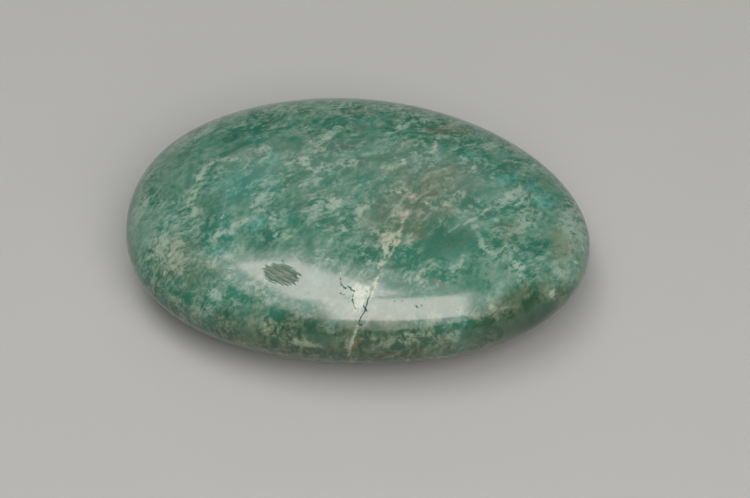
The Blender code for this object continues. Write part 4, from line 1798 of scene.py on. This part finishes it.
@dataclass
class Studio:
    """A pale cove all round, softboxes overhead, faint fill light, and the camera.

    Sizes are in metres, angles in degrees, and the camera's image in pixels.
    """

    form: PebbleForm
    floor_drop: float = 0.00002
    flat_radius: float = 1.1
    cove_radius: float = 0.5
    wall_height: float = 1.3
    arc_steps: int = 12
    turn_steps: int = 96
    weld: float = 0.0001
    fill: float = 0.29
    fill_colour: tuple[float, float, float] = (0.80, 1.0, 1.0)
    view_elevation: float = 48.97
    view_azimuth: float = 5.93
    view_distance: float = 0.420
    nearest: float = 0.01
    sensor_millimetres: float = 36.0
    focal_pixels: float = 2728.5
    image_width: float = 750.0
    image_height: float = 498.0
    stone_pixel: tuple[float, float] = (353.93, 228.98)
    paper: PlainPaper = field(default_factory=PlainPaper)
    lights: tuple[Softbox, ...] = (
        Softbox("front_softbox", (0.1216, -0.344, 0.4789), FRONT, -7.0, 0.372, 0.360, 6.9),
        Softbox("top_softbox", (-0.1654, -0.0457, 0.8193), FRONT, 15.0, 0.264, 0.624, 6.8),
        Softbox("broad_softbox", (-0.071, -0.172, 0.710), FRONT, 20.0, 0.60, 1.44, 2.32),
        Softbox("rear_softbox", (-0.053, 0.611, 0.514), (-0.067, 0.763, 0.643), 0.0, 0.46, 0.19, 0.54),
        Softbox("rear_veil", (-0.055, 0.583, 0.617), (-0.065, 0.686, 0.725), 0.0, 0.62, 0.40, 0.48),
    )

    def build(self) -> None:
        """Set up the whole studio."""
        self._cove()
        for light in self.lights:
            light.build()
        self._fill_light()
        self._camera()

    def _cove(self) -> None:
        """Spin the floor, its rounded rise and its wall in one sheet."""
        mesh = bmesh.new()
        corners = [Vector((0.0, 0.0, 0.0)), Vector((self.flat_radius, 0.0, 0.0))]
        for step in range(1, self.arc_steps + 1):
            angle = math.pi / 2.0 * step / self.arc_steps
            corners.append(Vector((
                self.flat_radius + self.cove_radius * math.sin(angle),
                0.0,
                self.cove_radius * (1.0 - math.cos(angle)),
            )))
        corners.append(corners[-1] + Vector((0.0, 0.0, self.wall_height)))
        verts = [mesh.verts.new(corner - Vector((0.0, 0.0, self.floor_drop))) for corner in corners]
        edges = [mesh.edges.new(pair) for pair in zip(verts[:-1], verts[1:])]
        bmesh.ops.spin(
            mesh,
            geom=verts + edges,
            cent=(0.0, 0.0, 0.0),
            axis=(0.0, 0.0, 1.0),
            angle=math.tau,
            steps=self.turn_steps,
            use_merge=True,
        )
        bmesh.ops.remove_doubles(mesh, verts=mesh.verts[:], dist=self.weld)
        bmesh.ops.recalc_face_normals(mesh, faces=mesh.faces[:])
        data = bpy.data.meshes.new("paper_cove")
        mesh.to_mesh(data)
        mesh.free()
        data.shade_smooth()
        data.materials.append(self.paper.material())
        cove = bpy.data.objects.new("paper_cove", data)
        bpy.context.scene.collection.objects.link(cove)

    def _fill_light(self) -> None:
        """Give the room its faint even light."""
        world = bpy.data.worlds.new("studio_fill")
        world.use_nodes = True
        background = world.node_tree.nodes["Background"]
        background.inputs["Color"].default_value = (*self.fill_colour, 1.0)
        background.inputs["Strength"].default_value = self.fill
        bpy.context.scene.world = world

    def _camera(self) -> None:
        """Stand the camera at the photograph's viewing angle."""
        rise, turn = math.radians(self.view_elevation), math.radians(self.view_azimuth)
        back = Vector((
            math.sin(turn) * math.cos(rise),
            -math.cos(turn) * math.cos(rise),
            math.sin(rise),
        ))
        data = bpy.data.cameras.new("photo_camera")
        data.sensor_width = self.sensor_millimetres
        data.lens = data.sensor_width * self.focal_pixels / self.image_width
        data.shift_x = (self.image_width / 2.0 - self.stone_pixel[0]) / self.image_width
        data.shift_y = (self.stone_pixel[1] - self.image_height / 2.0) / self.image_width
        data.clip_start = self.nearest
        camera = bpy.data.objects.new("photo_camera", data)
        bpy.context.scene.collection.objects.link(camera)
        camera.location = Vector(self.form.middle()) * MM + back * self.view_distance
        camera.rotation_euler = back.to_track_quat("Z", "Y").to_euler()
        bpy.context.scene.camera = camera


def main() -> None:
    """Build the stone, its finish and the studio."""
    logging.basicConfig(level=logging.INFO, format="%(name)s: %(message)s")
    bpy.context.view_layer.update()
    stone_maker = PalmStone()
    stone = stone_maker.build()
    stone.data.materials.append(AmazoniteFinish().material())
    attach(stone, BODY)
    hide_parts(NODE)
    log.info("%s: %d faces", stone.name, len(stone.data.polygons))
    Studio(stone_maker.form).build()
    log.info("studio: cove, lights and camera")
    bpy.context.scene.view_settings.view_transform = "Standard"


if __name__ == "__main__":
    main()
